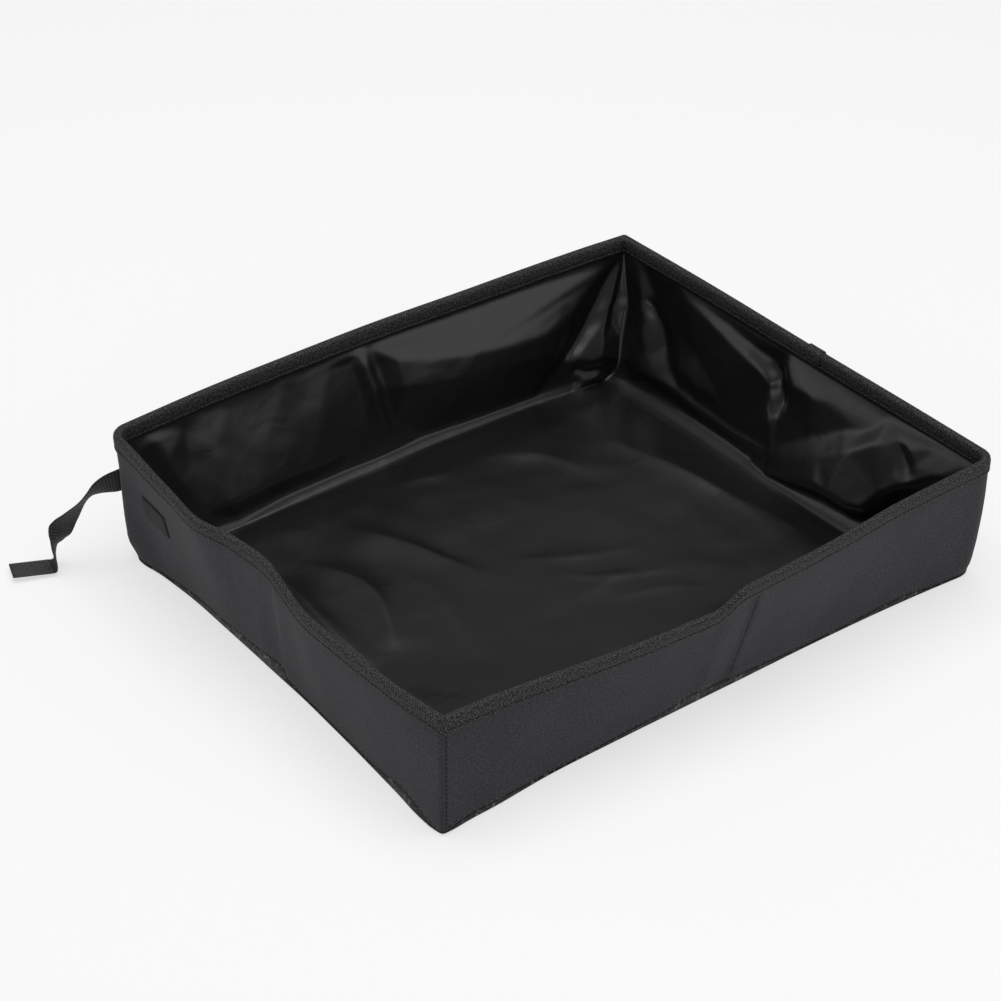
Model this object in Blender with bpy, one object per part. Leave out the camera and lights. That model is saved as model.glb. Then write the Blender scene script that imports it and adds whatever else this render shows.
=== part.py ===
"""Foldable litter box: a soft tray of stiffened cloth walls with a loose coated liner.

Each wall is an outer cloth, stiff boards and a liner, bound along the rim with twill tape.
The short walls fold inwards at their middle creases and draw the back wall to the front one.
Metres, +Z up. The origin is the centre of the underside, and the long walls run along X.
A place on a wall is given by its run, its depth in from the wall's outer face and its height.
"""

import math

import bmesh
import bpy
from mathutils import Vector

# Tray
tray_length = 0.500
tray_width = 0.420
wall_height = 0.112
entry_drop = 0.015
corner_radius = 0.014
seat_gap = 0.0003

# How far the long walls lean out at the middle of their rims
front_lean = 0.0200
back_lean = 0.0110

# Cloth, board and tape thicknesses
shell_thickness = 0.0010
base_thickness = 0.0010
board_thickness = 0.0024
liner_thickness = 0.0008
tape_thickness = 0.0008

# Fold lines
corner_fold_depth = 0.0070
crease_fold_standoff = 0.0016

# Low entry at the front left corner
front_dip_length = 0.026
side_dip_length = 0.050
dip_to_crease = 0.001

# Rim binding
tape_drop = 0.0125
tape_round = 0.0014

# Base cloth, turned up round the edge and sewn to the shell
base_edge_radius = 0.0046
base_edge_lift = 0.0003
base_seam_height = 0.0058
base_seam_rise = 0.0085
base_seam_spread = 0.075

# Boards inside the walls
board_foot = 0.0080
board_below_rim = 0.0050
board_from_corner = 0.0180
board_from_crease = 0.0060
board_corner_round = 0.0060

# Loose liner
liner_reach = 0.0240
liner_corner_softness = 0.0080
liner_corner_start = 0.0005
liner_fold_depth = 0.0070
liner_fold_width = 0.0340
pouch_depth = 0.0160
pouch_width = 0.0840
floor_wrinkle_height = 0.0040
floor_wrinkle_width = 0.0260

# Corner seams
seam_width = 0.0030
seam_stand = 0.0010
seam_foot = 0.0060

# Hook-and-loop closure
webbing_width = 0.0200
webbing_thickness = 0.0014
strap_height = 0.0650
anchor_from_corner = 0.0300
anchor_length = 0.0240
hook_tab_length = 0.0310
hook_tab_thickness = 0.0020
patch_length = 0.0340
patch_width = 0.0200
patch_thickness = 0.0007
patch_from_corner = 0.0410
patch_height = 0.0650
patch_corner_round = 0.0015

# Station spacing along the cloth, and rows of faces up a wall
cloth_step = 0.0125
dip_step = 0.0052
wall_rows = 4

# Shares: where a board's rounded corner has its stations
board_arc_shares = (0.0, 0.13, 0.5, 1.0)

# Shares: the liner's profile from rim to floor, and how far a fold and a sagging pouch lift it
# at each point
liner_depth_shares = (0.0, 0.0, 0.04, 0.11, 0.20, 0.34, 0.58, 1.0)
liner_height_shares = (1.0, 0.87, 0.74, 0.55, 0.36, 0.19, 0.055, 0.0)
liner_lift_shares = (0.0, 0.0, 0.45, 0.9, 1.0, 0.8, 0.3, 0.0)
liner_sag_shares = (0.0, 0.02, 0.22, 0.52, 0.85, 1.0, 0.45, 0.0)

# Shares: each main fold of the liner as its place along the wall, its lean, its height and the
# depth of the pouch that it hangs in
front_fold_shares = (
    (0.12, 0.04, 0.5, 0.0),
    (0.36, -0.05, 0.6, 0.0),
    (0.58, 0.06, 0.8, 0.0),
    (0.84, -0.04, 0.6, 0.0),
)
back_fold_shares = (
    (0.10, 0.08, 1.0, 0.0),
    (0.27, -0.03, 0.7, 0.0),
    (0.50, 0.03, 1.0, 0.0),
    (0.72, -0.06, 0.5, 0.0),
    (0.90, 0.02, 0.6, 0.0),
)
left_fold_shares = (
    (0.16, 0.05, 0.5, 0.0),
    (0.42, 0.05, 0.8, 0.0),
    (0.66, -0.06, 0.7, 0.0),
    (0.87, -0.03, 0.5, 0.0),
)
right_fold_shares = (
    (0.10, 0.07, 1.0, 0.0),
    (0.26, 0.06, 0.9, 0.0),
    (0.47, -0.07, 1.0, 0.0),
    (0.71, 0.0, 0.3, 1.0),
    (0.88, 0.02, 0.4, 0.0),
)

# Shares: each floor wrinkle as two ends across the floor and its height
floor_wrinkle_shares = (
    ((-0.34, -0.10), (-0.08, 0.06), 0.9),
    ((-0.12, 0.32), (0.22, 0.20), 0.7),
    ((0.10, -0.30), (0.34, -0.06), 1.0),
    ((-0.36, 0.30), (-0.20, 0.12), 0.6),
)

# Shares: the rounded foot of a corner seam, as height and width
seam_foot_shares = ((0.0, 0.35), (0.3, 0.75), (0.65, 0.94), (1.0, 1.0))

# Strap route: where the webbing's middle runs, and which way its width points there
strap_route = (
    ((-0.2350, 0.2117, 0.0648), (0.0, 0.0, 1.0)),
    ((-0.2466, 0.2126, 0.0640), (-0.08, -0.05, 1.0)),
    ((-0.2550, 0.2152, 0.0629), (-0.25, -0.21, 0.94)),
    ((-0.2624, 0.2174, 0.0606), (-0.45, -0.40, 0.80)),
    ((-0.2690, 0.2185, 0.0568), (-0.50, -0.60, 0.63)),
    ((-0.2756, 0.2190, 0.0513), (-0.57, -0.59, 0.57)),
    ((-0.2832, 0.2209, 0.0435), (-0.81, -0.29, 0.51)),
    ((-0.2879, 0.2239, 0.0372), (-0.93, 0.06, 0.35)),
    ((-0.2913, 0.2262, 0.0307), (-0.90, 0.20, 0.38)),
    ((-0.2948, 0.2261, 0.0251), (-0.81, -0.24, 0.54)),
    ((-0.2978, 0.2249, 0.0195), (-0.62, -0.62, 0.40)),
    ((-0.2990, 0.2239, 0.0125), (-0.50, -0.84, 0.20)),
    ((-0.2993, 0.2231, 0.0070), (-0.42, -0.90, 0.08)),
    ((-0.3003, 0.2229, 0.0037), (-0.38, -0.92, 0.03)),
    ((-0.3016, 0.2233, 0.0026), (-0.37, -0.93, 0.03)),
    ((-0.3030, 0.2238, 0.0026), (-0.37, -0.93, 0.03)),
)

# Worked out from the sizes above
wall_pile = shell_thickness + board_thickness + liner_thickness + 2 * seat_gap
liner_middle_depth = wall_pile - liner_thickness / 2
floor_level = base_thickness + seat_gap + liner_thickness / 2
tape_stand = tape_thickness + seat_gap
under_tape = tape_round + tape_thickness
mitre_room = 2 * (wall_pile + tape_stand)
corner_room = liner_reach + liner_corner_softness + cloth_step / 2
straight_run = tray_length - corner_radius
wrap_run = corner_radius * math.pi / 2
side_end = tray_width - corner_radius - seat_gap
long_crease = tray_length / 2
side_crease = tray_width / 2
front_dip = (long_crease - dip_to_crease - front_dip_length, front_dip_length)
side_dip = (side_crease - dip_to_crease - side_dip_length, side_dip_length)


def clear_scene():
    """Remove what the opening file holds."""
    for item in list(bpy.data.objects):
        bpy.data.objects.remove(item, do_unlink=True)


def make_finish(name, colour, roughness):
    """One cloth, board or tape finish."""
    finish = bpy.data.materials.new(name)
    finish.use_nodes = True
    shader = finish.node_tree.nodes["Principled BSDF"]
    shader.inputs["Base Color"].default_value = (*colour, 1.0)
    shader.inputs["Roughness"].default_value = roughness
    shader.inputs["Metallic"].default_value = 0.0
    return finish


def make_pivot(name, place, parent=None):
    """An empty on a fold line, which carries the pieces that turn about it."""
    pivot = bpy.data.objects.new(name, None)
    pivot.empty_display_size = corner_fold_depth
    pivot["place"] = place
    pivot.location = Vector(place)
    if parent:
        pivot.parent = parent
        pivot.location = Vector(place) - Vector(parent["place"])
    bpy.context.scene.collection.objects.link(pivot)
    return pivot


def add_piece(name, shape, pivot, finish, smooth=True):
    """Turn a bmesh in world places into an object carried by its pivot."""
    bmesh.ops.recalc_face_normals(shape, faces=shape.faces)
    if pivot:
        bmesh.ops.translate(shape, vec=-Vector(pivot["place"]), verts=shape.verts)
    mesh = bpy.data.meshes.new(name)
    shape.to_mesh(mesh)
    shape.free()
    mesh.materials.append(finish)
    if smooth:
        mesh.shade_smooth()
        mesh.set_sharp_from_angle(angle=math.radians(35))
    piece = bpy.data.objects.new(name, mesh)
    piece.parent = pivot
    bpy.context.scene.collection.objects.link(piece)
    return piece


def band(name, stations, pivot, finish):
    """A closed sheet through stations, each a row of outer points and a row of inner ones."""
    shape = bmesh.new()
    rows = []
    for outer, inner in stations:
        rows.append(([shape.verts.new(p) for p in outer], [shape.verts.new(p) for p in inner]))
    last = len(rows[0][0]) - 1
    for (outer, inner), (next_outer, next_inner) in zip(rows, rows[1:]):
        for i in range(last):
            shape.faces.new((outer[i], outer[i + 1], next_outer[i + 1], next_outer[i]))
            shape.faces.new((inner[i + 1], inner[i], next_inner[i], next_inner[i + 1]))
        shape.faces.new((inner[0], outer[0], next_outer[0], next_inner[0]))
        shape.faces.new((outer[last], inner[last], next_inner[last], next_outer[last]))
    for outer, inner in (rows[0], rows[-1]):
        for i in range(last):
            shape.faces.new((outer[i + 1], outer[i], inner[i], inner[i + 1]))
    return add_piece(name, shape, pivot, finish)


def smooth_step(share):
    """Rise from 0 to 1 with level ends."""
    share = min(max(share, 0.0), 1.0)
    return share * share * (3 - 2 * share)


def spaced(start, stop, step):
    """Runs from start to stop, evenly spaced and at most a step apart."""
    count = max(1, math.ceil((stop - start) / step - 0.001))
    return [start + (stop - start) * i / count for i in range(count + 1)]


def wall_runs(start, stop, dip=None, step=None):
    """Runs for a wall's stations, closer together where the rim dips."""
    step = step or cloth_step * 2
    if dip is None:
        return spaced(start, stop, step)
    low, high = dip[0], dip[0] + dip[1]
    runs = spaced(start, low, step) + spaced(low, high, dip_step)[1:]
    if stop > high:
        runs += spaced(high, stop, step)[1:]
    return runs


def long_wall_runs(dip):
    """Runs for a long wall's stations, with one at each end of its lean."""
    middle = wall_runs(corner_room, tray_length - corner_room, dip, cloth_step * 1.5)
    return [mitre_room] + middle + [straight_run]


def lean_out(lean, run, height):
    """How far a long wall stands out at a place: most at the middle of its rim, not at its ends."""
    share = (run - corner_room) / (tray_length - 2 * corner_room)
    share = min(max(share, 0.0), 1.0)
    return lean * math.sin(math.pi * share) * height / wall_height


def long_wall(turn, lean):
    """Places on the front wall, or with turn -1 on the back wall, corner wrap included."""

    def place(run, depth, height):
        if run <= straight_run:
            x = -tray_length / 2 + run
            y = -tray_width / 2 + depth - lean_out(lean, run, height)
        else:
            angle = (run - straight_run) / corner_radius
            x = tray_length / 2 - corner_radius + (corner_radius - depth) * math.sin(angle)
            y = -tray_width / 2 + corner_radius - (corner_radius - depth) * math.cos(angle)
        return Vector((turn * x, turn * y, height))

    return place


def side_wall(turn):
    """Places on the left wall, or with turn -1 on the right wall."""

    def place(run, depth, height):
        return Vector((turn * (depth - tray_length / 2), turn * (run - tray_width / 2), height))

    return place


def rim_height(run, dip):
    """The rim is low from the entry corner to the dip and full height past it."""
    if dip is None:
        return wall_height
    return wall_height - entry_drop * (1 - smooth_step((run - dip[0]) / dip[1]))


def seam_height(run, crease):
    """The base seam lifts where the wall creases."""
    share = min(abs(run - crease) / base_seam_spread, 1.0)
    return base_seam_height + base_seam_rise * (1 - share * share) ** 2


def rows_up(low, high):
    """Heights from low to high, one for each row of faces up a wall."""
    return [low + (high - low) * i / wall_rows for i in range(wall_rows + 1)]


def make_shell(name, place, runs, crease, dip, pivot, finish):
    """The outer cloth of a wall, from the base seam up into the binding."""
    stations = []
    for run in runs:
        heights = rows_up(seam_height(run, crease) + seat_gap, rim_height(run, dip) - under_tape)
        stations.append([[place(run, d, height) for height in heights] for d in (0, shell_thickness)])
    band(name, stations, pivot, finish)


def make_base_edge(name, place, runs, crease, pivot, finish):
    """The turned-up edge of the base cloth: a quarter round, then flat up to the seam."""
    radius = base_edge_radius
    stations = []
    for run in runs:
        outer = []
        inner = []
        for quarter in range(5):
            angle = math.pi / 2 * quarter / 4
            for row, reach in ((outer, radius), (inner, radius - base_thickness)):
                depth = radius - reach * math.sin(angle)
                height = base_edge_lift + radius - reach * math.cos(angle)
                row.append(place(run, depth, height))
        top = seam_height(run, crease)
        outer.append(place(run, 0, top))
        inner.append(place(run, base_thickness, top))
        stations.append((outer, inner))
    band(name, stations, pivot, finish)


def binding_profile():
    """The tape's section over the rim: depth and height of its outside and its inside."""
    outer_face = -tape_stand
    inner_face = wall_pile + tape_stand
    outside = (
        (outer_face, -tape_drop),
        (outer_face, -tape_round),
        (outer_face + tape_round, 0),
        (inner_face - tape_round, 0),
        (inner_face, -tape_round),
        (inner_face, -tape_drop),
    )
    inside = (
        (outer_face + tape_thickness, -tape_drop),
        (outer_face + tape_thickness, -tape_round - tape_thickness / 2),
        (outer_face + tape_round + tape_thickness / 2, -tape_thickness),
        (inner_face - tape_round - tape_thickness / 2, -tape_thickness),
        (inner_face - tape_thickness, -tape_round - tape_thickness / 2),
        (inner_face - tape_thickness, -tape_drop),
    )
    return outside, inside


def make_binding(name, place, runs, mitred, dip, pivot, finish):
    """Twill tape folded over the rim and swept along it, mitred where it meets a sharp corner."""
    profile = binding_profile()
    stations = []
    if mitred:
        rim = rim_height(0, dip)
        stations.append([[place(d + seat_gap, d, rim + h) for d, h in row] for row in profile])
    for run in runs:
        rim = rim_height(run, dip)
        stations.append([[place(run, d, rim + h) for d, h in row] for row in profile])
    band(name, stations, pivot, finish)


def board_inset(edge):
    """How far a board's rounded corner takes in its foot and its top, this far from its end."""
    short = max(board_corner_round - edge, 0.0)
    return board_corner_round - math.sqrt(board_corner_round**2 - short**2)


def make_board(name, place, start, stop, wall, dip, pivot, finish):
    """A stiffener board between the shell and the liner, bent as its wall stands.

    wall is the runs of the wall's own stations."""
    near = shell_thickness + seat_gap
    arc = [board_corner_round * share for share in board_arc_shares]
    first, last = start + board_corner_round, stop - board_corner_round
    runs = [start + edge for edge in arc]
    runs += [run for run in wall if first < run < last]
    runs += [stop - edge for edge in reversed(arc)]
    stations = []
    for run in runs:
        inset = board_inset(min(run - start, stop - run))
        heights = rows_up(board_foot + inset, rim_height(run, dip) - board_below_rim - inset)
        depths = (near, near + board_thickness)
        stations.append([[place(run, d, height) for height in heights] for d in depths])
    band(name, stations, pivot, finish)


def swell(off, width):
    """How much of a swelling is left at a distance from its middle."""
    return (1 + math.cos(math.pi * min(abs(off) / width, 1.0))) / 2


def liner_profile(run, length, dip, folds):
    """The liner's section at a run: middle line and the way across it, from rim to floor."""
    top = rim_height(run, dip) - under_tape
    points = []
    shares = zip(liner_depth_shares, liner_height_shares, liner_lift_shares, liner_sag_shares)
    for depth_share, height_share, lift_share, sag_share in shares:
        depth = liner_middle_depth + (liner_reach - liner_middle_depth) * depth_share
        height = floor_level + (top - floor_level) * height_share
        for place_share, lean_share, size_share, pouch_share in folds:
            off = run - length * (place_share + lean_share * height_share)
            depth += liner_fold_depth * size_share * lift_share * swell(off, liner_fold_width)
            depth += pouch_depth * pouch_share * sag_share * swell(off, pouch_width)
        points.append(Vector((depth, height)))
    rows = []
    for i, point in enumerate(points):
        along = points[min(i + 1, len(points) - 1)] - points[max(i - 1, 0)]
        if i == 0:
            along = Vector((0, -top))
        if i == len(points) - 1:
            along = Vector((liner_reach, 0))
        along.normalize()
        rows.append((point, Vector((-along.y, along.x)) * liner_thickness / 2))
    return rows


def corner_reach(depth, lift_share, wrap):
    """Radius of the liner's corner at a depth: tight where it is sewn in, soft in between."""
    soft = liner_corner_start + liner_corner_softness * lift_share
    return max(wrap - depth, soft)


def liner_end(place, profile, length, wrap, share, at_start):
    """A station on the rounded end of a wall's liner, up to the diagonal of the corner."""
    angle = math.pi / 4 * share
    rows = ([], [])
    for (point, across), lift_share in zip(profile, liner_lift_shares):
        for row, side in zip(rows, (-1, 1)):
            depth = point.x + across.x * side
            height = point.y + across.y * side
            radius = corner_reach(depth, lift_share, wrap)
            run = depth + radius + seat_gap - radius * math.sin(angle)
            if not at_start:
                run = length - run
            row.append(place(run, depth + radius * (1 - math.cos(angle)), height))
    return rows


def make_liner(name, place, length, start, stop, dip, folds, wraps, pivot, finish):
    """A wall's loose liner, from the binding down and out on to the floor.

    start or stop is None where the liner runs into a corner; wraps are the corners' radii.
    """
    first = corner_room if start is None else start
    final = length - corner_room if stop is None else stop
    stations = []
    if start is None:
        profile = liner_profile(0, length, dip, ())
        for share in (1.0, 0.5, 0.0):
            stations.append(liner_end(place, profile, length, wraps[0], share, True))
    for run in wall_runs(first, final, dip, cloth_step):
        rows = ([], [])
        for point, across in liner_profile(run, length, dip, folds):
            for row, side in zip(rows, (-1, 1)):
                row.append(place(run, point.x + across.x * side, point.y + across.y * side))
        stations.append(rows)
    if stop is None:
        profile = liner_profile(length, length, dip, ())
        for share in (0.0, 0.5, 1.0):
            stations.append(liner_end(place, profile, length, wraps[1], share, False))
    band(name, stations, pivot, finish)


def straight_long_wall(turn, lean):
    """Places on a long wall with no corner wrap, for the liner inside it."""

    def place(run, depth, height):
        out = depth - lean_out(lean, run, height)
        return Vector((turn * (run - tray_length / 2), turn * (out - tray_width / 2), height))

    return place


def floor_lift(x, y, half_x, half_y):
    """How far the liner's floor lifts in its wrinkles, nothing at the edges."""
    lift = 0.0
    for start_shares, end_shares, size_share in floor_wrinkle_shares:
        start = Vector((start_shares[0] * half_x * 2, start_shares[1] * half_y * 2))
        end = Vector((end_shares[0] * half_x * 2, end_shares[1] * half_y * 2))
        line = end - start
        share = min(max((Vector((x, y)) - start).dot(line) / line.length_squared, 0.0), 1.0)
        off = (Vector((x, y)) - start - line * share).length / floor_wrinkle_width
        lift += size_share * math.exp(-off * off * 2)
    edge_x = smooth_step((half_x - abs(x)) / floor_wrinkle_width)
    edge_y = smooth_step((half_y - abs(y)) / floor_wrinkle_width)
    return floor_wrinkle_height * lift * edge_x * edge_y


def make_liner_floor(finish):
    """The liner's floor: one loose sheet with low wrinkles."""
    half_x = tray_length / 2 - liner_reach - seat_gap
    half_y = tray_width / 2 - liner_reach - seat_gap
    low = floor_level - liner_thickness / 2
    stations = []
    for x in spaced(-half_x, half_x, cloth_step * 2):
        rows = ([], [])
        for y in spaced(-half_y, half_y, cloth_step * 2):
            lift = floor_lift(x, y, half_x, half_y)
            rows[0].append(Vector((x, y, low + lift)))
            rows[1].append(Vector((x, y, low + lift + liner_thickness)))
        stations.append(rows)
    band("liner_floor", stations, None, finish)


def make_base_cloth(finish):
    """The flat part of the base cloth, which the tray stands on."""
    inset = base_edge_radius + seat_gap
    half_x = tray_length / 2 - inset
    half_y = tray_width / 2 - inset
    radius = corner_radius - inset
    points = []
    for turn in (1, -1):
        points.append(Vector((-turn * half_x, -turn * half_y, 0)))
        for step in range(5):
            angle = math.pi / 2 * step / 4
            x = half_x - radius + radius * math.sin(angle)
            y = -half_y + radius - radius * math.cos(angle)
            points.append(Vector((turn * x, turn * y, 0)))
    shape = bmesh.new()
    face = shape.faces.new([shape.verts.new(point) for point in points])
    grown = bmesh.ops.extrude_face_region(shape, geom=[face])
    moved = [item for item in grown["geom"] if isinstance(item, bmesh.types.BMVert)]
    bmesh.ops.translate(shape, vec=Vector((0, 0, base_thickness)), verts=moved)
    add_piece("base_cloth", shape, None, finish, smooth=False)


def make_corner_seam(name, turn, top, pivot, finish):
    """The stitched ridge down a sharp corner, rounded off at its foot."""
    heights = [(seam_foot * h, w) for h, w in seam_foot_shares] + [(top, 1.0)]
    middle = (seam_width - seam_stand) / 2
    half = (seam_width + seam_stand) / 2
    shape = bmesh.new()
    rings = []
    for height, width_share in heights:
        ring = []
        for step in range(12):
            angle = 2 * math.pi * step / 12
            reach = half * width_share
            x = -tray_length / 2 + middle + reach * math.cos(angle)
            y = -tray_width / 2 + middle + reach * math.sin(angle)
            ring.append(shape.verts.new((turn * x, turn * y, height)))
        rings.append(ring)
    for one, two in zip(rings, rings[1:]):
        for i in range(12):
            j = (i + 1) % 12
            shape.faces.new((one[i], one[j], two[j], two[i]))
    shape.faces.new(rings[0])
    shape.faces.new(rings[-1])
    add_piece(name, shape, pivot, finish)


def make_patch(place, pivot, finish):
    """The loop patch sewn to the left wall, beside the rounded back corner."""
    middle_run = tray_width - patch_from_corner - patch_length / 2
    points = []
    half_run = patch_length / 2 - patch_corner_round
    half_height = patch_width / 2 - patch_corner_round
    for corner, (run_side, height_side) in enumerate(((1, 1), (-1, 1), (-1, -1), (1, -1))):
        for step in range(3):
            angle = math.pi / 2 * (corner + step / 2)
            run = middle_run + run_side * half_run + patch_corner_round * math.cos(angle)
            height = patch_height + height_side * half_height + patch_corner_round * math.sin(angle)
            points.append((run, height))
    shape = bmesh.new()
    face = shape.faces.new([shape.verts.new(place(run, -seat_gap, height)) for run, height in points])
    outward = place(0, -patch_thickness, 0) - place(0, 0, 0)
    grown = bmesh.ops.extrude_face_region(shape, geom=[face])
    moved = [item for item in grown["geom"] if isinstance(item, bmesh.types.BMVert)]
    bmesh.ops.translate(shape, vec=outward, verts=moved)
    add_piece("loop_patch", shape, pivot, finish, smooth=False)


def ribbon_station(middle, width_way, thick_way, thickness):
    """Outer and inner points of a strip of webbing at one place along it."""
    across = width_way * webbing_width / 2
    out = thick_way * thickness / 2
    return [[middle + out + across, middle + out - across], [middle - out + across, middle - out - across]]


def make_strap_anchor(place, pivot, finish):
    """The end of the webbing, sewn flat to the back wall beside its rounded corner."""
    first = tray_length - anchor_from_corner - anchor_length
    stations = []
    for run in (first, tray_length - anchor_from_corner - seat_gap / 2):
        middle = place(run, -seat_gap - webbing_thickness / 2, strap_height)
        stations.append(ribbon_station(middle, Vector((0, 0, 1)), Vector((0, 1, 0)), webbing_thickness))
    band("strap_anchor", stations, pivot, finish)


def strap_points(place):
    """The strap's middle line and width directions, from its fold line through the route."""
    first_run = tray_length - anchor_from_corner + seat_gap / 2
    start = place(first_run, -seat_gap - webbing_thickness / 2, strap_height)
    route = [(start, Vector((0, 0, 1)))]
    route += [(Vector(point), Vector(way).normalized()) for point, way in strap_route]
    return route


def smooth_route(route, per_span):
    """Points read from a smooth curve through the route's own points."""
    out = []
    for i in range(len(route) - 1):
        before, here = route[max(i - 1, 0)], route[i]
        there, after = route[i + 1], route[min(i + 2, len(route) - 1)]
        for step in range(per_span):
            t = step / per_span
            mixed = []
            for a, b, c, d in zip(before, here, there, after):
                bend = (2 * a - 5 * b + 4 * c - d) * t + (3 * b - a - 3 * c + d) * t * t
                mixed.append(b + ((c - a) + bend) * t / 2)
            out.append(tuple(mixed))
    out.append(route[-1])
    return out


def strap_frames(place):
    """Middle, direction, width direction and thickness direction all along the strap."""
    line = smooth_route(strap_points(place), 3)
    frames = []
    for i, (middle, way) in enumerate(line):
        along = (line[min(i + 1, len(line) - 1)][0] - line[max(i - 1, 0)][0]).normalized()
        thick_way = way.cross(along).normalized()
        frames.append((middle, along, along.cross(thick_way), thick_way))
    return frames


def make_strap(place, pivot, finish):
    """The free webbing, twisting down from the corner to its hook tab."""
    stations = []
    for middle, _along, width_way, thick_way in strap_frames(place):
        stations.append(ribbon_station(middle, width_way, thick_way, webbing_thickness))
    band("closure_strap", stations, pivot, finish)


def make_hook_tab(place, pivot, finish):
    """The hook tape at the strap's end, a flat tab that carries straight on from it."""
    end, along, width_way, thick_way = strap_frames(place)[-1]
    stations = []
    for reach in (seat_gap, hook_tab_length / 2, hook_tab_length):
        stations.append(ribbon_station(end + along * reach, width_way, thick_way, hook_tab_thickness))
    band("hook_tab", stations, pivot, finish)


def make_pivots():
    """Fold lines, each on an empty: the left and right chains and the strap's stitched end."""
    in_x = tray_length / 2 - corner_fold_depth
    in_y = tray_width / 2 - corner_fold_depth
    crease_x = tray_length / 2 + crease_fold_standoff
    strap_x = anchor_from_corner - tray_length / 2
    strap_y = tray_width / 2 + seat_gap + webbing_thickness
    pivots = {"front": None}
    pivots["left_front"] = make_pivot("left_front_pivot", (-in_x, -in_y, 0))
    pivots["left_back"] = make_pivot("left_back_pivot", (-crease_x, 0, 0), pivots["left_front"])
    pivots["back"] = make_pivot("back_pivot", (-in_x, in_y, 0), pivots["left_back"])
    pivots["right_front"] = make_pivot("right_front_pivot", (in_x, -in_y, 0))
    pivots["right_back"] = make_pivot("right_back_pivot", (crease_x, 0, 0), pivots["right_front"])
    pivots["strap"] = make_pivot("strap_pivot", (strap_x, strap_y, 0), pivots["back"])
    return pivots


def make_finishes():
    """Colours and roughness as they look on the tray."""
    return {
        "shell": make_finish("charcoal_oxford_cloth", (0.034, 0.035, 0.039), 0.85),
        "base": make_finish("coated_base_cloth", (0.026, 0.027, 0.029), 0.75),
        "board": make_finish("stiffener_board", (0.30, 0.30, 0.31), 0.60),
        "liner": make_finish("glossy_coated_liner", (0.010, 0.010, 0.011), 0.32),
        "tape": make_finish("twill_binding_tape", (0.014, 0.014, 0.015), 0.90),
        "webbing": make_finish("ribbed_webbing", (0.016, 0.016, 0.017), 0.85),
        "hook": make_finish("hook_tape", (0.012, 0.012, 0.013), 0.70),
        "loop": make_finish("loop_tape", (0.020, 0.020, 0.022), 0.95),
    }


def make_long_wall(name, turn, lean, dip, folds, pivot, finish):
    """The front or the back wall: cloths and tape round its corner, and two boards."""
    place = long_wall(turn, lean)
    wrap = spaced(straight_run, straight_run + wrap_run, wrap_run / 4)[1:]
    seam_end = seam_width + seat_gap
    tape_runs = long_wall_runs(dip) + wrap
    cloth_runs = [seam_end] + tape_runs
    make_shell(name + "_shell", place, cloth_runs, long_crease, dip, pivot, finish["shell"])
    make_base_edge(name + "_base_edge", place, cloth_runs, long_crease, pivot, finish["base"])
    make_binding(name + "_binding", place, tape_runs, True, dip, pivot, finish["tape"])
    near, far = ("left", "right") if turn > 0 else ("right", "left")
    near_end = long_crease - board_from_crease
    far_start = long_crease + board_from_crease
    far_end = tray_length - board_from_corner
    near_ends = (board_from_corner, near_end)
    far_ends = (far_start, far_end)
    make_board(f"{name}_{near}_board", place, *near_ends, tape_runs, dip, pivot, finish["board"])
    make_board(f"{name}_{far}_board", place, *far_ends, tape_runs, None, pivot, finish["board"])
    liner_place = straight_long_wall(turn, lean)
    wraps = (0, corner_radius)
    make_liner(
        name + "_liner", liner_place, tray_length, None, None, dip, folds, wraps, pivot, finish["liner"]
    )


def make_side_half(name, turn, near_corner, dip, folds, pivot, finish):
    """Half of the left or the right wall, from a sharp corner or to a rounded one."""
    place = side_wall(turn)
    if near_corner:
        stop = side_crease - seat_gap / 2
        edge_runs = wall_runs(base_edge_radius + seat_gap, stop, dip)
        shell_runs = [seam_width + 2 * seat_gap] + edge_runs
        tape_runs = wall_runs(mitre_room, stop, dip)
        board_ends = (board_from_corner, side_crease - board_from_crease)
        liner_ends = (None, stop)
    else:
        start = side_crease + seat_gap / 2
        edge_runs = shell_runs = tape_runs = wall_runs(start, side_end)
        board_ends = (side_crease + board_from_crease, tray_width - board_from_corner)
        liner_ends = (start, None)
    make_shell(name + "_shell", place, shell_runs, side_crease, dip, pivot, finish["shell"])
    make_base_edge(name + "_base_edge", place, edge_runs, side_crease, pivot, finish["base"])
    make_binding(name + "_binding", place, tape_runs, near_corner, dip, pivot, finish["tape"])
    make_board(name + "_board", place, *board_ends, tape_runs, dip, pivot, finish["board"])
    wraps = (0, corner_radius)
    make_liner(name + "_liner", place, tray_width, *liner_ends, dip, folds, wraps, pivot, finish["liner"])


def make_tray():
    """Every piece of the tray, wall by wall."""
    clear_scene()
    finish = make_finishes()
    pivots = make_pivots()
    make_base_cloth(finish["base"])
    make_liner_floor(finish["liner"])
    make_long_wall("front", 1, front_lean, front_dip, front_fold_shares, None, finish)
    make_long_wall("back", -1, back_lean, None, back_fold_shares, pivots["back"], finish)
    make_side_half("left_front", 1, True, side_dip, left_fold_shares, pivots["left_front"], finish)
    make_side_half("left_back", 1, False, None, left_fold_shares, pivots["left_back"], finish)
    make_side_half("right_back", -1, True, None, right_fold_shares, pivots["right_back"], finish)
    make_side_half("right_front", -1, False, None, right_fold_shares, pivots["right_front"], finish)
    seam_top = wall_height - tape_drop - seat_gap
    make_corner_seam("front_left_corner_seam", 1, seam_top - entry_drop, None, finish["shell"])
    make_corner_seam("back_right_corner_seam", -1, seam_top, pivots["back"], finish["shell"])
    make_patch(side_wall(1), pivots["left_back"], finish["loop"])
    back_place = long_wall(-1, back_lean)
    make_strap_anchor(back_place, pivots["back"], finish["webbing"])
    make_strap(back_place, pivots["strap"], finish["webbing"])
    make_hook_tab(back_place, pivots["strap"], finish["hook"])


make_tray()
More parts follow.
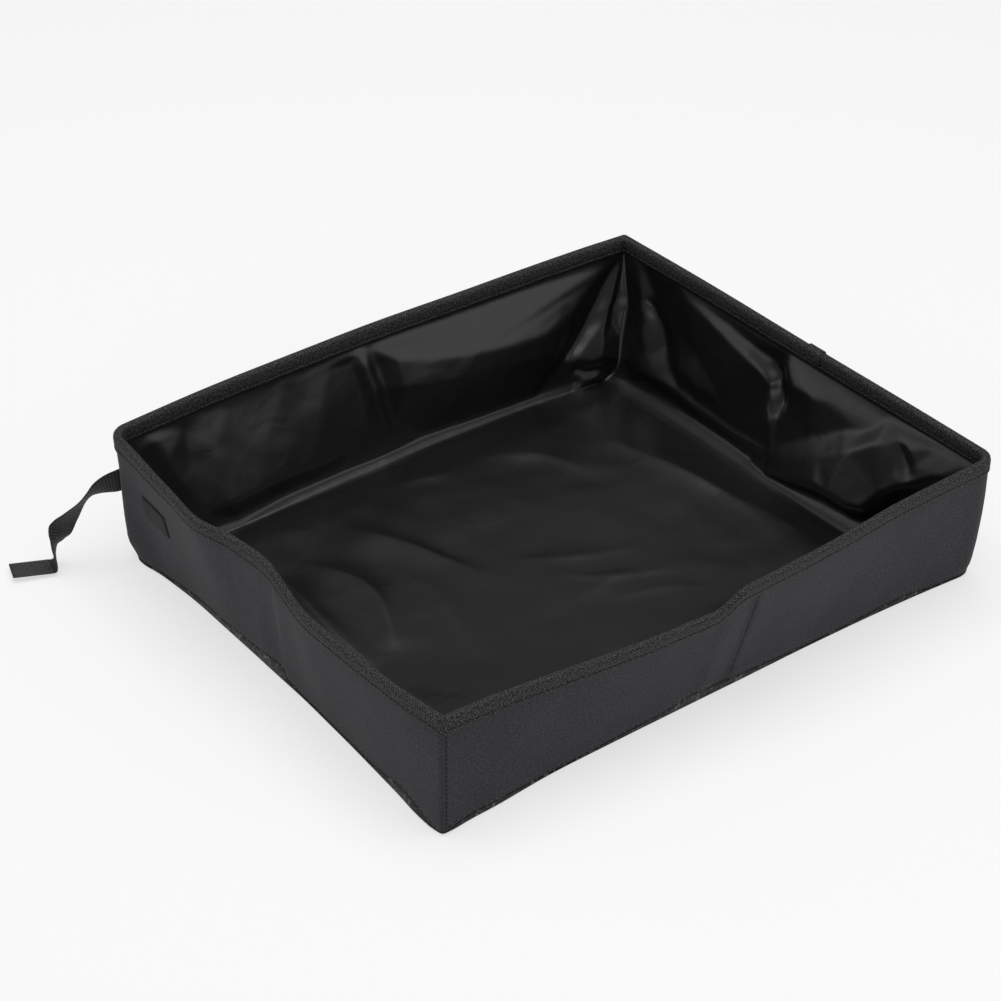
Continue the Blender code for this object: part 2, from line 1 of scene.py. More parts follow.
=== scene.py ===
"""Folding litter tray: boarded cloth walls, a bound rim, a loose coated liner and a closure strap."""

import math
from collections import namedtuple

import bpy
import numpy as np
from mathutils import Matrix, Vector, noise
from mathutils.geometry import delaunay_2d_cdt


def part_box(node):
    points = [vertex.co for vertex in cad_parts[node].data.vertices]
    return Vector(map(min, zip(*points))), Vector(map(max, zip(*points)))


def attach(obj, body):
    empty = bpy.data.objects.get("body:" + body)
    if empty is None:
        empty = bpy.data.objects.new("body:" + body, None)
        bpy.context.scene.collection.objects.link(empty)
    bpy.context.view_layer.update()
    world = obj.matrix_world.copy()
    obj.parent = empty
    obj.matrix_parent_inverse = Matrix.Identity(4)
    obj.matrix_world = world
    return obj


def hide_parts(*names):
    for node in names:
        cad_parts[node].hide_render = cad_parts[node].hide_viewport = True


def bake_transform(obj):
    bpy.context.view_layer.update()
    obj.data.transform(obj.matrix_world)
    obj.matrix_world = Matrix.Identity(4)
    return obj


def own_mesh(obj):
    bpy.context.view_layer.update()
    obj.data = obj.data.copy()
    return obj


bl_info = {
    "name": "Folding Litter Tray",
    "version": (1, 0, 0),
    "blender": (4, 5, 0),
    "location": "3D View > Sidebar > Litter Tray",
    "description": "Builds a soft litter tray with a loose liner, piece by piece",
    "category": "Object",
}

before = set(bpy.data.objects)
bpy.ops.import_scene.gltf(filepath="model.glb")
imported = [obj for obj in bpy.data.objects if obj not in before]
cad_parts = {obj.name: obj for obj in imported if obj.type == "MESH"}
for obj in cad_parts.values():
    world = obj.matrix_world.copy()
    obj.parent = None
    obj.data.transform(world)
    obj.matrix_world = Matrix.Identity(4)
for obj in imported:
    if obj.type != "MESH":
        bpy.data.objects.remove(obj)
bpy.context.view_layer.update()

MM = 0.001
# The walls, in order round the tray. Each starts at its left corner, seen from outside.
FRONT, RIGHT, BACK, LEFT = range(4)
# A place along the ring: on a wall at a run from its start, or part of the turn into that wall.
Station = namedtuple("Station", "wall run turn")
# A corner of more than this radius is wrapped softly; the others are sewn sharp.
SOFT_RADIUS = 0.01


def linear_colour(code):
    """An sRGB hex colour as linear light."""
    channels = [int(code[i : i + 2], 16) / 255 for i in (1, 3, 5)]
    return [c / 12.92 if c <= 0.04045 else ((c + 0.055) / 1.055) ** 2.4 for c in channels]


def length_setting(name, description, default):
    """A length that a user can change."""
    return bpy.props.FloatProperty(
        name=name, description=description, default=default, min=0.0, unit="LENGTH", precision=4
    )


def colour_setting(name, description, code):
    """A colour that a user can change."""
    return bpy.props.FloatVectorProperty(
        name=name,
        description=description,
        default=linear_colour(code),
        min=0.0,
        max=1.0,
        subtype="COLOR",
    )


class LitterTraySizes(bpy.types.PropertyGroup):
    """Sizes of the tray and of its cloth, tape and thread."""

    tray_length: length_setting("Length", "Over the long walls", 2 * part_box("front_shell")[1].x)
    tray_width: length_setting("Width", "Over the short walls", 0.420)
    wall_height: length_setting("Wall height", "Rim above the floor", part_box("back_binding")[1].z)
    entry_drop: length_setting("Entry drop", "How much lower the entry corner is", 0.015)
    soft_corner: length_setting("Soft corner", "Radius of the two wrapped corners", 0.014)
    sharp_corner: length_setting("Sharp corner", "Radius of the two sewn corners", 0.0026)
    wall_pile: length_setting("Wall thickness", "Shell, board and liner together", 0.0048)
    tape_drop: length_setting("Tape depth", "How far the binding tape comes down", 0.0125)
    thread_pitch: length_setting("Stitch length", "From one stitch to the next", 0.0042)
    thread_width: length_setting("Thread width", "Sewing thread's diameter", 0.0007)
    webbing_width: length_setting("Webbing width", "Width of the closure strap", 0.020)


class LitterTrayColours(bpy.types.PropertyGroup):
    """Colours of the tray's cloths."""

    oxford: colour_setting("Oxford cloth", "Outer cloth of the walls", "#2f3033")
    base: colour_setting("Base cloth", "Coated cloth under the tray", "#2b2c2e")
    liner: colour_setting("Liner", "Loose coated liner", "#101011")
    tape: colour_setting("Binding tape", "Twill tape over the rim", "#1f1f20")
    webbing: colour_setting("Webbing", "Closure strap", "#232324")
    hook: colour_setting("Hook tape", "Tab at the strap's end", "#202021")
    loop: colour_setting("Loop tape", "Patch on the left wall", "#242427")
    thread: colour_setting("Thread", "Sewing thread", "#0d0d0e")
    board: colour_setting("Board", "Stiffener inside the walls", "#8f9092")
    floor: colour_setting("Studio floor", "Plain pale floor", "#f4f4f4")


# Outline of the walls

# How the soft walls stand: distance round the tray from the front left corner, then how far
# the cloth stands from its drawn place at the rim (x, y) and at the foot (x, y), all in mm.
STANCE = (
    (0, -5.5, -4, -8, -6), (20, -5, -5, -3, -3), (42, -4, -6.5, 0, -1.5), (94, -3, -13, 0, 3.5),
    (158, -1, -20, 0, 5.6), (200, 0, -22, 0, 6.5), (245, 0, -23, 0, 7.4), (272, 0, -22, 0, 7.8),
    (325, 1, -19, 0, 9), (364, 1, -15.5, 0, 9.3), (400, 1.5, -12, 0, 9.2), (448, 2, -10, 0, 8),
    (480, 2.3, -9, 0.5, 6), (500, 2.6, -8.5, 3, 3), (520, 2.4, -8, 3, 1), (597, 2.6, -4, 0, 0),
    (690, 2.2, 0, 0, 0), (816, 3.0, 1, 0, 0), (920, 1.4, 6.5, 0, 1), (963, 0.5, 9.5, 0, 1),
    (1025, 0, 11.5, 0, 1.5), (1086, 0, 12.5, 0, 1.5), (1170, 0, 15, 0, 1), (1241, 0, 13.5, 0, 0),
    (1322, -1, 10.5, 1, -1), (1400, -2.5, 3.5, 1, -1), (1420, -3, 1.5, 1, -1), (1440, -4, 0, 4, -1),
    (1461, -6, 0, 8.5, 0), (1486, -9, 0, 10.3, 0), (1513, -11.5, 0, 11, 0),
    (1555, -15.5, 0, 9.8, 0), (1590, -9.5, 0, 8.6, 0), (1625, -7, 0, 7.2, 0), (1660, -9, 0, 6, 0),
    (1693, -13, 0, 3.8, 0), (1730, -13, -0.5, 1, 0), (1790, -11.2, -2, -4.5, -0.5),
    (1815, -8.5, -3, -7.5, -2),
)
# How each corner's foot is rounded, from the front left corner round: how far the foot is tucked
# in, how far the middle bulges, how far this reaches along the wall, all in mm, and the share of
# the wall's height that the foot takes.
CORNER_FEET = (
    (2.0, 0.0, 9.0, 0.07), (2.0, 2.5, 20.0, 0.14), (2.0, 0.0, 10.0, 0.07), (8.0, 0.0, 20.0, 0.20)
)
# How high the base seam is lifted off the floor: distance round the tray and height, in mm.
SEAM_LIFT = (
    (0, 2.4), (13, 5.4), (44, 6.0), (75, 4.2), (100, 3.2), (137, 4.8), (175, 6.5), (205, 9.0),
    (222, 13.0), (246, 9.5), (290, 7.5), (330, 4.4), (380, 4.8), (430, 7.0), (470, 3.6), (700, 5.0),
    (720, 9.0), (760, 3.0), (1100, 3.0), (1160, 9.0), (1200, 6.0), (1260, 3.0), (1420, 2.6),
    (1470, 5.0), (1520, 8.0), (1590, 11.0), (1630, 15.0), (1640, 6.0), (1680, 3.6), (1745, 4.0),
    (1775, 7.5), (1796, 11.0), (1812, 9.0), (1829, 3.5),
)


def around(table, distance, total):
    """A smooth value from a table of (distance, values...) that closes on itself."""
    rows = [row[0] for row in table]
    distance = distance % total
    i = int(np.searchsorted(rows, distance, side="right")) - 1
    picked = []
    for k in (i - 1, i, i + 1, i + 2):
        row = table[k % len(table)]
        picked.append((row[0] + total * (k // len(table)), np.array(row[1:], float)))
    (x0, v0), (x1, v1), (x2, v2), (x3, v3) = picked
    t = (distance - x1) / (x2 - x1)
    m1 = (v2 - v0) / (x2 - x0) * (x2 - x1)
    m2 = (v3 - v1) / (x3 - x1) * (x2 - x1)
    a = 2 * t**3 - 3 * t * t + 1
    b = t**3 - 2 * t * t + t
    c = 3 * t * t - 2 * t**3
    d = t**3 - t * t
    return a * v1 + b * m1 + c * v2 + d * m2


def smooth_step(share):
    """Rise from 0 to 1 with level ends."""
    share = min(max(share, 0.0), 1.0)
    return share * share * (3 - 2 * share)


class Outline:
    """The tray's outline: places on its walls from a run along, a depth inwards and a height."""

    def __init__(self, sizes):
        self.sizes = sizes
        half_x, half_y = sizes.tray_length / 2, sizes.tray_width / 2
        corners = ((-half_x, -half_y), (half_x, -half_y), (half_x, half_y), (-half_x, half_y))
        self.origins = [Vector(p) for p in corners]
        self.ways = [Vector(p) for p in ((1, 0), (0, 1), (-1, 0), (0, -1))]
        self.inwards = [Vector(p) for p in ((0, 1), (-1, 0), (0, -1), (1, 0))]
        self.lengths = [sizes.tray_length, sizes.tray_width] * 2
        self.radii = [sizes.sharp_corner, sizes.soft_corner] * 2
        self.starts = [sum(self.lengths[:wall]) for wall in range(4)]
        self.total = sum(self.lengths)

    def distance(self, station):
        """How far round the tray a station is, from the front left corner."""
        if station.turn is None:
            return self.starts[station.wall] + station.run
        return (self.starts[station.wall] + (2 * station.turn - 1) * self.radii[station.wall]) % self.total

    def plan(self, station, depth, before=None, after=None, soft=0.0003):
        """The drawn place in plan. before and after are the depths on the neighbouring walls."""
        wall = station.wall
        before = depth if before is None else before
        after = depth if after is None else after
        origin, way, inward = self.origins[wall], self.ways[wall], self.inwards[wall]
        if station.turn is None:
            following = (wall + 1) % 4
            first = before + max(self.radii[wall] - before, soft)
            last = after + max(self.radii[following] - after, soft)
            room = self.lengths[wall] - self.radii[wall] - self.radii[following]
            share = (station.run - self.radii[wall]) / room
            run = first + share * (self.lengths[wall] - first - last)
            return origin + way * run + inward * depth
        radius = max(self.radii[wall] - max(before, depth), soft)
        angle = station.turn * math.pi / 2
        centre = origin + way * (before + radius) + inward * (depth + radius)
        return centre - (way * math.cos(angle) + inward * math.sin(angle)) * radius

    def outward(self, station):
        """The way out of the wall in plan."""
        if station.turn is None:
            return -self.inwards[station.wall]
        angle = station.turn * math.pi / 2
        return -(self.ways[station.wall] * math.cos(angle) + self.inwards[station.wall] * math.sin(angle))

    def stance(self, distance, share):
        """How far the cloth stands from its drawn place, and how far its lean lowers it."""
        top_x, top_y, foot_x, foot_y = around(STANCE, distance / MM, self.total / MM) * MM
        lean = Vector((top_x - foot_x, top_y - foot_y))
        drop = lean.length_squared / (2 * self.sizes.wall_height) * share
        shift = Vector((foot_x, foot_y)) + lean * share
        for wall, (tuck, bulge, reach, rise) in enumerate(CORNER_FEET):
            off = (distance - self.starts[wall] + self.total / 2) % self.total - self.total / 2
            near = math.exp(-((off / (reach * MM)) ** 2))
            pull = tuck * (1 - smooth_step(share / rise)) ** 1.5
            pull -= bulge * math.sin(math.pi * min(max(share, 0), 1))
            shift += (self.ways[wall] + self.inwards[wall]) * (pull * near * MM * math.sqrt(0.5))
        return shift, drop

    def rim(self, station):
        """The rim's height: low round the entry corner, full height past the creases."""
        distance = self.distance(station)
        front, left = self.lengths[FRONT] / 2, self.total - self.lengths[LEFT] / 2
        low = 1 - smooth_step((distance - front + 0.027) / 0.026)
        if distance > self.total / 2:
            low = 1 - smooth_step((left + 0.051 - distance) / 0.050)
        return self.sizes.wall_height - self.sizes.entry_drop * low

    def place(self, station, depth, height):
        """A point on the standing tray."""
        share = height / self.sizes.wall_height
        shift, drop = self.stance(self.distance(station), share)
        point = self.plan(station, depth) + shift
        return Vector((point.x, point.y, height - drop))

    def stations(self, step, near_creases=0.0025):
        """Stations all the way round, closer together at creases, dips and corners."""
        made = []
        for wall in range(4):
            first = self.radii[wall]
            last = self.lengths[wall] - self.radii[(wall + 1) % 4]
            turns = 10 if first > SOFT_RADIUS else 4
            made += [Station(wall, 0.0, i / turns) for i in range(turns)]
            middle = self.lengths[wall] / 2
            entry = min(last, self.lengths[wall] - ENTRY_HINGE_REACH)
            marks = [first, max(first, ENTRY_HINGE_REACH), entry, last]
            marks += [middle + off for off in (-CREASE_REACH, -HINGE_REACH, HINGE_REACH, CREASE_REACH)]
            if first > SOFT_RADIUS:
                marks.append(CORNER_HINGE_REACH)
            marks = sorted(set(round(mark, 6) for mark in marks))
            for low, high in zip(marks, marks[1:]):
                fine = near_creases if abs((low + high) / 2 - middle) < CREASE_REACH else step
                count = max(1, round((high - low) / fine))
                made += [Station(wall, low + (high - low) * i / count, None) for i in range(count)]
            made.append(Station(wall, last, None))
        return made


# Which body carries what

# How far the bending strips reach: either way from a short wall's middle, from the sharp entry
# corner, and from the soft corners. The creases of a wall lie within the last reach of its middle.
HINGE_REACH = 0.008
ENTRY_HINGE_REACH = 0.012
CORNER_HINGE_REACH = 0.024
CREASE_REACH = 0.056
# The regions of the ring that ride on one body: the body, and the plane that their soft cloth lies
# against when the tray is folded.
RIGID_REGIONS = {
    "front": ("front_wall", (0, 1, 0), (0, -0.2120, 0)),
    "right_front": ("right_front", (1, 0, 0), (0.2490, 0, 0)),
    "right_back": ("right_back", (1, 0, 0), (0.2490, 0, 0)),
    "back": ("back_wall", (0, 1, 0), (0, 0.2085, 0)),
    "left_back": ("left_back", (1, 0, 0), (-0.2575, 0, 0)),
    "left_front": ("left_front", (1, 0, 0), (-0.2575, 0, 0)),
}
# The strips that bend: their two bodies, and the wall and run where each body takes over. A run
# below zero is counted back from the wall's end.
HINGE_REGIONS = {
    "entry_hinge": ("front_wall", "left_front", (FRONT, 0.0105), (LEFT, -0.0105)),
    "right_corner_hinge": ("front_wall", "right_front", (RIGHT, 0.006), (RIGHT, CORNER_HINGE_REACH)),
    "right_hinge": ("right_front", "right_back", (RIGHT, 0.202), (RIGHT, 0.218)),
    "back_corner_hinge": ("back_wall", "left_back", (LEFT, 0.006), (LEFT, CORNER_HINGE_REACH)),
    "left_hinge": ("left_back", "left_front", (LEFT, 0.202), (LEFT, 0.218)),
}
# What each wall starts with: the region, from which share of the corner's turn, up to which run.
WALL_STARTS = (
    ("entry_hinge", -1.0, ENTRY_HINGE_REACH),
    ("right_corner_hinge", 0.613, CORNER_HINGE_REACH),
    ("back", -1.0, 0.0),
    ("back_corner_hinge", 0.387, CORNER_HINGE_REACH),
)
WALL_HALVES = (
    ("front", "front"), ("right_front", "right_back"), ("back", "back"), ("left_back", "left_front")
)
MIDDLE_HINGES = {RIGHT: "right_hinge", LEFT: "left_hinge"}


def region_of(outline, station):
    """The region of the ring that a station belongs to."""
    wall, run, turn = station
    start, from_turn, to_run = WALL_STARTS[wall]
    if turn is not None:
        return start if turn > from_turn else WALL_HALVES[wall - 1][1]
    if run < to_run:
        return start
    if wall == LEFT and run > outline.lengths[wall] - ENTRY_HINGE_REACH:
        return "entry_hinge"
    middle = outline.lengths[wall] / 2
    if wall in MIDDLE_HINGES and abs(run - middle) < HINGE_REACH:
        return MIDDLE_HINGES[wall]
    return WALL_HALVES[wall][run >= middle]


def hinge_end(outline, wall, run):
    """The point in plan where a body takes over from a hinge strip."""
    run = run % outline.lengths[wall]
    shift, _drop = outline.stance(outline.starts[wall] + run, 0.5)
    flat = outline.origins[wall] + outline.ways[wall] * run + shift
    return (flat.x, flat.y, 0.0)


def fasten(piece, outline, region, node=None):
    """Tie a piece of the ring to its region's body, or leave a bending strip untied; hide the part it
    replaces.
    """
    if region in HINGE_REGIONS:
        first, second, start, end = HINGE_REGIONS[region]
        hinge_end(outline, *start)
        hinge_end(outline, *end)
        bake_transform(piece)
    else:
        body, axis, anchor = RIGID_REGIONS[region]
        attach(piece, body)
        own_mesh(piece)
    if node is not None:
        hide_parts(node)


# Meshes


def mesh_piece(name, points, faces, material, uvs=None, normals=None, smooth=True):
    """An object from points and faces, with texture places in metres along the cloth."""
    mesh = bpy.data.meshes.new(name)
    mesh.from_pydata([tuple(p) for p in points], [], faces)
    mesh.materials.append(material)
    if uvs is not None:
        layer = mesh.uv_layers.new(name="cloth")
        corners = [uv for face in uvs for uv in face]
        layer.data.foreach_set("uv", np.array(corners, np.float32).ravel())
    if smooth:
        mesh.shade_smooth()
    if normals is not None:
        mesh.normals_split_custom_set_from_vertices([tuple(n) for n in normals])
    piece = bpy.data.objects.new(name, mesh)
    bpy.context.scene.collection.objects.link(piece)
    return piece


def vertex_normals(points, faces):
    """Smooth normals of a whole mesh, so that its parts meet without a visible line."""
    points = np.array([tuple(p) for p in points])
    normals = np.zeros_like(points)
    for face in faces:
        a, b, c = points[face[0]], points[face[1]], points[face[2]]
        n = np.cross(b - a, c - a)
        if len(face) == 4:
            n = n + np.cross(c - a, points[face[3]] - a)
        for v in face:
            normals[v] += n
    lengths = np.linalg.norm(normals, axis=1)
    lengths[lengths < 1e-15] = 1
    return normals / lengths[:, None]


def split_pieces(base_name, points, faces, uvs, regions, material):
    """One object for each region of a mesh, with the whole mesh's normals."""
    normals = vertex_normals(points, faces)
    made = {}
    for region in sorted(set(regions)):
        chosen = [i for i, r in enumerate(regions) if r == region]
        used = {}
        part_faces = []
        for i in chosen:
            part_faces.append([used.setdefault(v, len(used)) for v in faces[i]])
        order = sorted(used, key=used.get)
        made[region] = mesh_piece(
            f"{region}_{base_name}",
            [points[v] for v in order],
            part_faces,
            material,
            [uvs[i] for i in chosen],
            [normals[v] for v in order],
        )
    return made

def strip_faces(rows, along, across, closed):
    """Quads between rows of points, with their texture places along and across the strip."""
    count = len(rows[0])
    faces, uvs = [], []
    for i in range(len(rows) - 1):
        here, there = along[i], along[i + 1]
        for k in range(count if closed else count - 1):
            m = (k + 1) % count
            faces.append((i * count + k, (i + 1) * count + k, (i + 1) * count + m, i * count + m))
            near, far = across[i], across[i + 1]
            uvs.append(((here, near[k]), (there, far[k]), (there, far[m]), (here, near[m])))
    return faces, uvs


def sweep_ring(outline, stations, profile_at):
    """A ring swept round the tray. profile_at gives (depth, height, across) rows at a station."""
    points, across = [], []
    for station in stations:
        profile = profile_at(outline, station)
        points += [outline.place(station, depth, height) for depth, height, _v in profile]
        across.append([v for _d, _h, v in profile])
    faces, uvs, regions = [], [], []
    count = len(across[0])
    for i, here in enumerate(stations):
        j = (i + 1) % len(stations)
        there = stations[j]
        if outline.plan(here, 0) == outline.plan(there, 0):
            continue
        u0, u1 = outline.distance(here), outline.distance(there)
        if u1 < u0 - outline.total / 2:
            u1 += outline.total
        if here.turn is not None:
            following = there.turn if there.turn is not None else 1.0
            middle = Station(here.wall, 0.0, (here.turn + following) / 2)
        elif there.wall != here.wall:
            middle = Station(there.wall, 0.0, 0.0)
        else:
            middle = Station(here.wall, (here.run + there.run) / 2, None)
        regions += [region_of(outline, middle)] * count
        for k in range(count):
            m = (k + 1) % count
            faces.append((i * count + k, j * count + k, j * count + m, i * count + m))
            uvs.append(((u0, across[i][k]), (u1, across[j][k]), (u1, across[j][m]), (u0, across[i][m])))
    return points, faces, uvs, regions


def build_ring(outline, kind, key, step, profile_at):
    """One layer of cloth all round the tray, cut where the tray folds."""
    mesh = sweep_ring(outline, outline.stations(step), profile_at)
    for region, piece in split_pieces(kind, *mesh, material_named(key)).items():
        fasten(piece, outline, region, f"{region}_{kind}" if region in RIGID_REGIONS else None)


def panel_piece(name, key, across, up, point_at, facing, u_at, smooth=True):
    """A thin closed panel between two layers of points, point_at(layer, i, k)."""
    grid = [(i, k) for i in range(across + 1) for k in range(up + 1)]
    points = [point_at(layer, i, k) for layer in (0, 1) for i, k in grid]
    faces = []
    for layer in (0, 1):
        for i, k in grid:
            if i < across and k < up:
                a = layer * len(grid) + i * (up + 1) + k
                quad = (a, a + up + 1, a + up + 2, a + 1)
                faces.append(quad if layer == facing else quad[::-1])
    ring = [i * (up + 1) for i in range(across + 1)]
    ring += [across * (up + 1) + k for k in range(1, up + 1)]
    ring += [i * (up + 1) + up for i in reversed(range(across))]
    ring += list(reversed(range(1, up)))
    for a, b in zip(ring, ring[1:] + ring[:1]):
        a, b = (a, b) if facing else (b, a)
        faces.append((a, b, b + len(grid), a + len(grid)))
    uvs = place_faces(points, faces, lambda p: (u_at(p), p.z))
    return mesh_piece(name, points, faces, material_named(key), uvs, smooth=smooth)


def place_faces(points, faces, place_at):
    """Texture places of the corners of all faces, read from where their points lie."""
    return [[place_at(points[v]) for v in face] for face in faces]


def soft_noise(x, y, size, seed=0.0):
    """Smooth noise from -1 to 1 with bumps of about a size in metres."""
    return noise.noise(Vector((x / size, y / size, seed)))


# Materials

SURFACE_INPUTS = {
    "colour": "Base Color",
    "specular": "Specular IOR Level",
    "sheen": "Sheen Weight",
    "sheen_roughness": "Sheen Roughness",
}


def add_node(tree, kind, links=None, **settings):
    """Add one node: its settings, then its inputs, each a value or another node's output."""
    node = tree.nodes.new(kind)
    for key, value in settings.items():
        setattr(node, key, value)
    for key, value in (links or {}).items():
        if isinstance(value, bpy.types.NodeSocket):
            tree.links.new(value, node.inputs[key])
        else:
            node.inputs[key].default_value = value
    return node


def start_material(name, roughness, **inputs):
    """A material and its node tree, with values set on its surface shader."""
    material = bpy.data.materials.new(name)
    material.use_nodes = True
    surface = material.node_tree.nodes["Principled BSDF"].inputs
    surface["Roughness"].default_value = roughness
    for key, value in inputs.items():
        surface[SURFACE_INPUTS[key]].default_value = value
    return material, material.node_tree


def finish_surface(tree, colour, normal=None):
    """Give the surface shader its colour, and the normal that a pattern raises."""
    surface = tree.nodes["Principled BSDF"].inputs
    tree.links.new(colour, surface["Base Color"])
    if normal is not None:
        tree.links.new(normal, surface["Normal"])


def cloth_place(tree):
    """Where a pattern lies on the cloth, in metres."""
    return add_node(tree, "ShaderNodeUVMap", uv_map="cloth").outputs["UV"]


def noise_pattern(tree, where, scale, detail, roughness=0.5, distortion=0.0):
    """Noise from 0 to 1."""
    links = {"Vector": where, "Scale": scale, "Detail": detail}
    links.update({"Roughness": roughness, "Distortion": distortion})
    return add_node(tree, "ShaderNodeTexNoise", links).outputs["Fac"]


def woven_bands(tree, where, period, direction, distortion=0.0):
    """Bands of a period in metres."""
    links = {"Vector": where, "Scale": math.pi / 10 / period, "Distortion": distortion}
    return add_node(tree, "ShaderNodeTexWave", links, bands_direction=direction).outputs["Fac"]


def calculate(tree, operation, *values, **settings):
    """The result of one sum."""
    links = dict(enumerate(values))
    return add_node(tree, "ShaderNodeMath", links, operation=operation, **settings).outputs[0]


def stretch(tree, value, low, high):
    """A pattern between two values drawn out to the range from 0 to 1."""
    links = {"Value": value, "From Min": low, "From Max": high}
    return add_node(tree, "ShaderNodeMapRange", links).outputs["Result"]


def tone(colour, light):
    """A lighter or darker tone of a colour."""
    return (*[c * light for c in colour], 1)


def mix_tones(tree, share, dark, light, **settings):
    """One colour over another by a share, each a value or another node's output."""
    links = {0: share, 6: dark, 7: light}
    return add_node(tree, "ShaderNodeMix", links, data_type="RGBA", **settings).outputs[2]


def raise_pattern(tree, height, strength, distance, links=None, **settings):
    """A surface normal that a pattern raises."""
    links = {"Height": height, "Strength": strength, "Distance": distance, **(links or {})}
    return add_node(tree, "ShaderNodeBump", links, **settings).outputs["Normal"]


def oxford_cloth(colour):
    """Charcoal polyester Oxford, plain woven: a matt grain of threads with a faint fuzz."""
    material, tree = start_material(
        "charcoal_oxford_woven", 0.85, sheen=0.08, sheen_roughness=0.5, specular=0.22
    )
    where = cloth_place(tree)
    # The real threads lie 0.5 mm apart, too fine to show here, so the grain is drawn 2 mm coarse.
    links = {"Vector": where, "Scale": (420.0, 640.0, 1.0)}
    threads = add_node(tree, "ShaderNodeMapping", links, vector_type="POINT").outputs["Vector"]
    grain = noise_pattern(tree, threads, 1.0, 3.0, 0.75)
    soiled = noise_pattern(tree, where, 26.0, 3.0)
    woven = mix_tones(tree, stretch(tree, grain, 0.36, 0.68), tone(colour, 0.55), tone(colour, 1.55))
    worn = mix_tones(tree, soiled, (0.8, 0.8, 0.8, 1), (1.2, 1.2, 1.2, 1))
    mixed = mix_tones(tree, 1.0, woven, worn, blend_type="MULTIPLY")
    finish_surface(tree, mixed, raise_pattern(tree, grain, 0.6, 0.0004))
    return material


def base_cloth(colour):
    """Coated Oxford for the base: a little smoother, creased, with a painted highlight of pale flecks on
    its creases.
    """
    material, tree = start_material("coated_base_cloth", 0.62, specular=0.3)
    creases = noise_pattern(tree, cloth_place(tree), 210.0, 4.0, distortion=1.5)
    # The crease tops are painted pale: a painted highlight where the wrinkles catch the light.
    mixed = mix_tones(tree, stretch(tree, creases, 0.55, 0.67), tone(colour, 0.7), tone(colour, 5.5))
    finish_surface(tree, mixed, raise_pattern(tree, creases, 0.7, 0.0012))
    return material


def coated_liner(colour):
    """Thin polyester with a glossy waterproof coating: near black, with broad soft highlights."""
    material, tree = start_material("glossy_coated_liner", 0.30, colour=tone(colour, 1))
    place = add_node(tree, "ShaderNodeTexCoord").outputs["Object"]
    crumple = noise_pattern(tree, place, 38.0, 2.0, 0.4, 0.6)
    weave = noise_pattern(tree, place, 900.0, 1.0)
    broad = raise_pattern(tree, crumple, 0.10, 0.004)
    fine = raise_pattern(tree, weave, 0.06, 0.0002, {"Normal": broad})
    tree.links.new(fine, tree.nodes["Principled BSDF"].inputs["Normal"])
    return material


def twill_tape(colour):
    """Polyester twill binding tape, herringbone woven: dark ribs with pale glints on them."""
    material, tree = start_material("black_herringbone_tape", 0.8, specular=0.3)
    where = cloth_place(tree)
    parts = add_node(tree, "ShaderNodeSeparateXYZ", {0: where}).outputs
    # The real herringbone has ribs 1 mm apart; they are drawn 2.4 mm apart so that they show.
    zigzag = calculate(tree, "PINGPONG", parts["Y"], 2.8 * MM)
    along = calculate(tree, "ADD", parts["X"], zigzag)
    rib = calculate(tree, "SINE", calculate(tree, "MULTIPLY", along, 2 * math.pi / (2.4 * MM)))
    glint = noise_pattern(tree, where, 560.0, 2.0, 0.7)
    woven = calculate(tree, "MULTIPLY_ADD", rib, 0.11, glint)
    mixed = mix_tones(tree, stretch(tree, woven, 0.40, 0.70), tone(colour, 0.25), tone(colour, 5.0))
    finish_surface(tree, mixed, raise_pattern(tree, woven, 0.7, 0.0004))
    return material


def ribbed_webbing(colour):
    """Woven polypropylene webbing: cross ribs with a low gloss."""
    material, tree = start_material("black_ribbed_webbing", 0.6, specular=0.3)
    where = cloth_place(tree)
    # The real ribs are 1.6 mm apart, drawn 2.4 mm apart so that they show.
    ribs = woven_bands(tree, where, 2.4 * MM, "X", 0.3)
    cords = woven_bands(tree, where, 2.2 * MM, "Y", 0.3)
    woven = calculate(tree, "MULTIPLY_ADD", ribs, 0.7, cords)
    mixed = mix_tones(tree, stretch(tree, woven, 0.1, 1.6), tone(colour, 0.3), tone(colour, 3.2))
    finish_surface(tree, mixed, raise_pattern(tree, woven, 0.8, 0.0005))
    return material


def nap_tape(colour, name, scale, light, roughness):
    """Hook or loop tape: a short dense nap that takes the light unevenly."""
    material, tree = start_material(name, roughness)
    links = {"Vector": cloth_place(tree), "Scale": scale}
    nap = add_node(tree, "ShaderNodeTexVoronoi", links).outputs["Distance"]
    mixed = mix_tones(tree, stretch(tree, nap, 0.1, 0.8), tone(colour, light), tone(colour, 0.6))
    finish_surface(tree, mixed, raise_pattern(tree, nap, 0.9, 0.0005, invert=True))
    return material


def bonded_thread(colour):
    """Bonded polyester thread: twisted, with a slight shine."""
    material, tree = start_material("black_bonded_thread", 0.6, specular=0.25)
    twist = woven_bands(tree, cloth_place(tree), 0.8 * MM, "DIAGONAL")
    finish_surface(tree, mix_tones(tree, twist, tone(colour, 1), tone(colour, 1.6)))
    return material


def pressed_board(colour):
    """Recycled polyethylene board, pressed: grey, satin, faintly mottled."""
    material, tree = start_material("grey_pressed_board", 0.55)
    mottle = noise_pattern(tree, cloth_place(tree), 90.0, 3.0)
    finish_surface(tree, mix_tones(tree, mottle, tone(colour, 0.85), tone(colour, 1.1)))
    return material


MATERIAL_MAKERS = {
    "oxford": (oxford_cloth,),
    "base": (base_cloth,),
    "liner": (coated_liner,),
    "tape": (twill_tape,),
    "webbing": (ribbed_webbing,),
    "hook": (nap_tape, "black_hook_tape", 1100.0, 3.2, 0.6),
    "loop": (nap_tape, "black_loop_tape", 800.0, 1.8, 0.95),
    "thread": (bonded_thread,),
    "board": (pressed_board,),
}
made_materials = {}


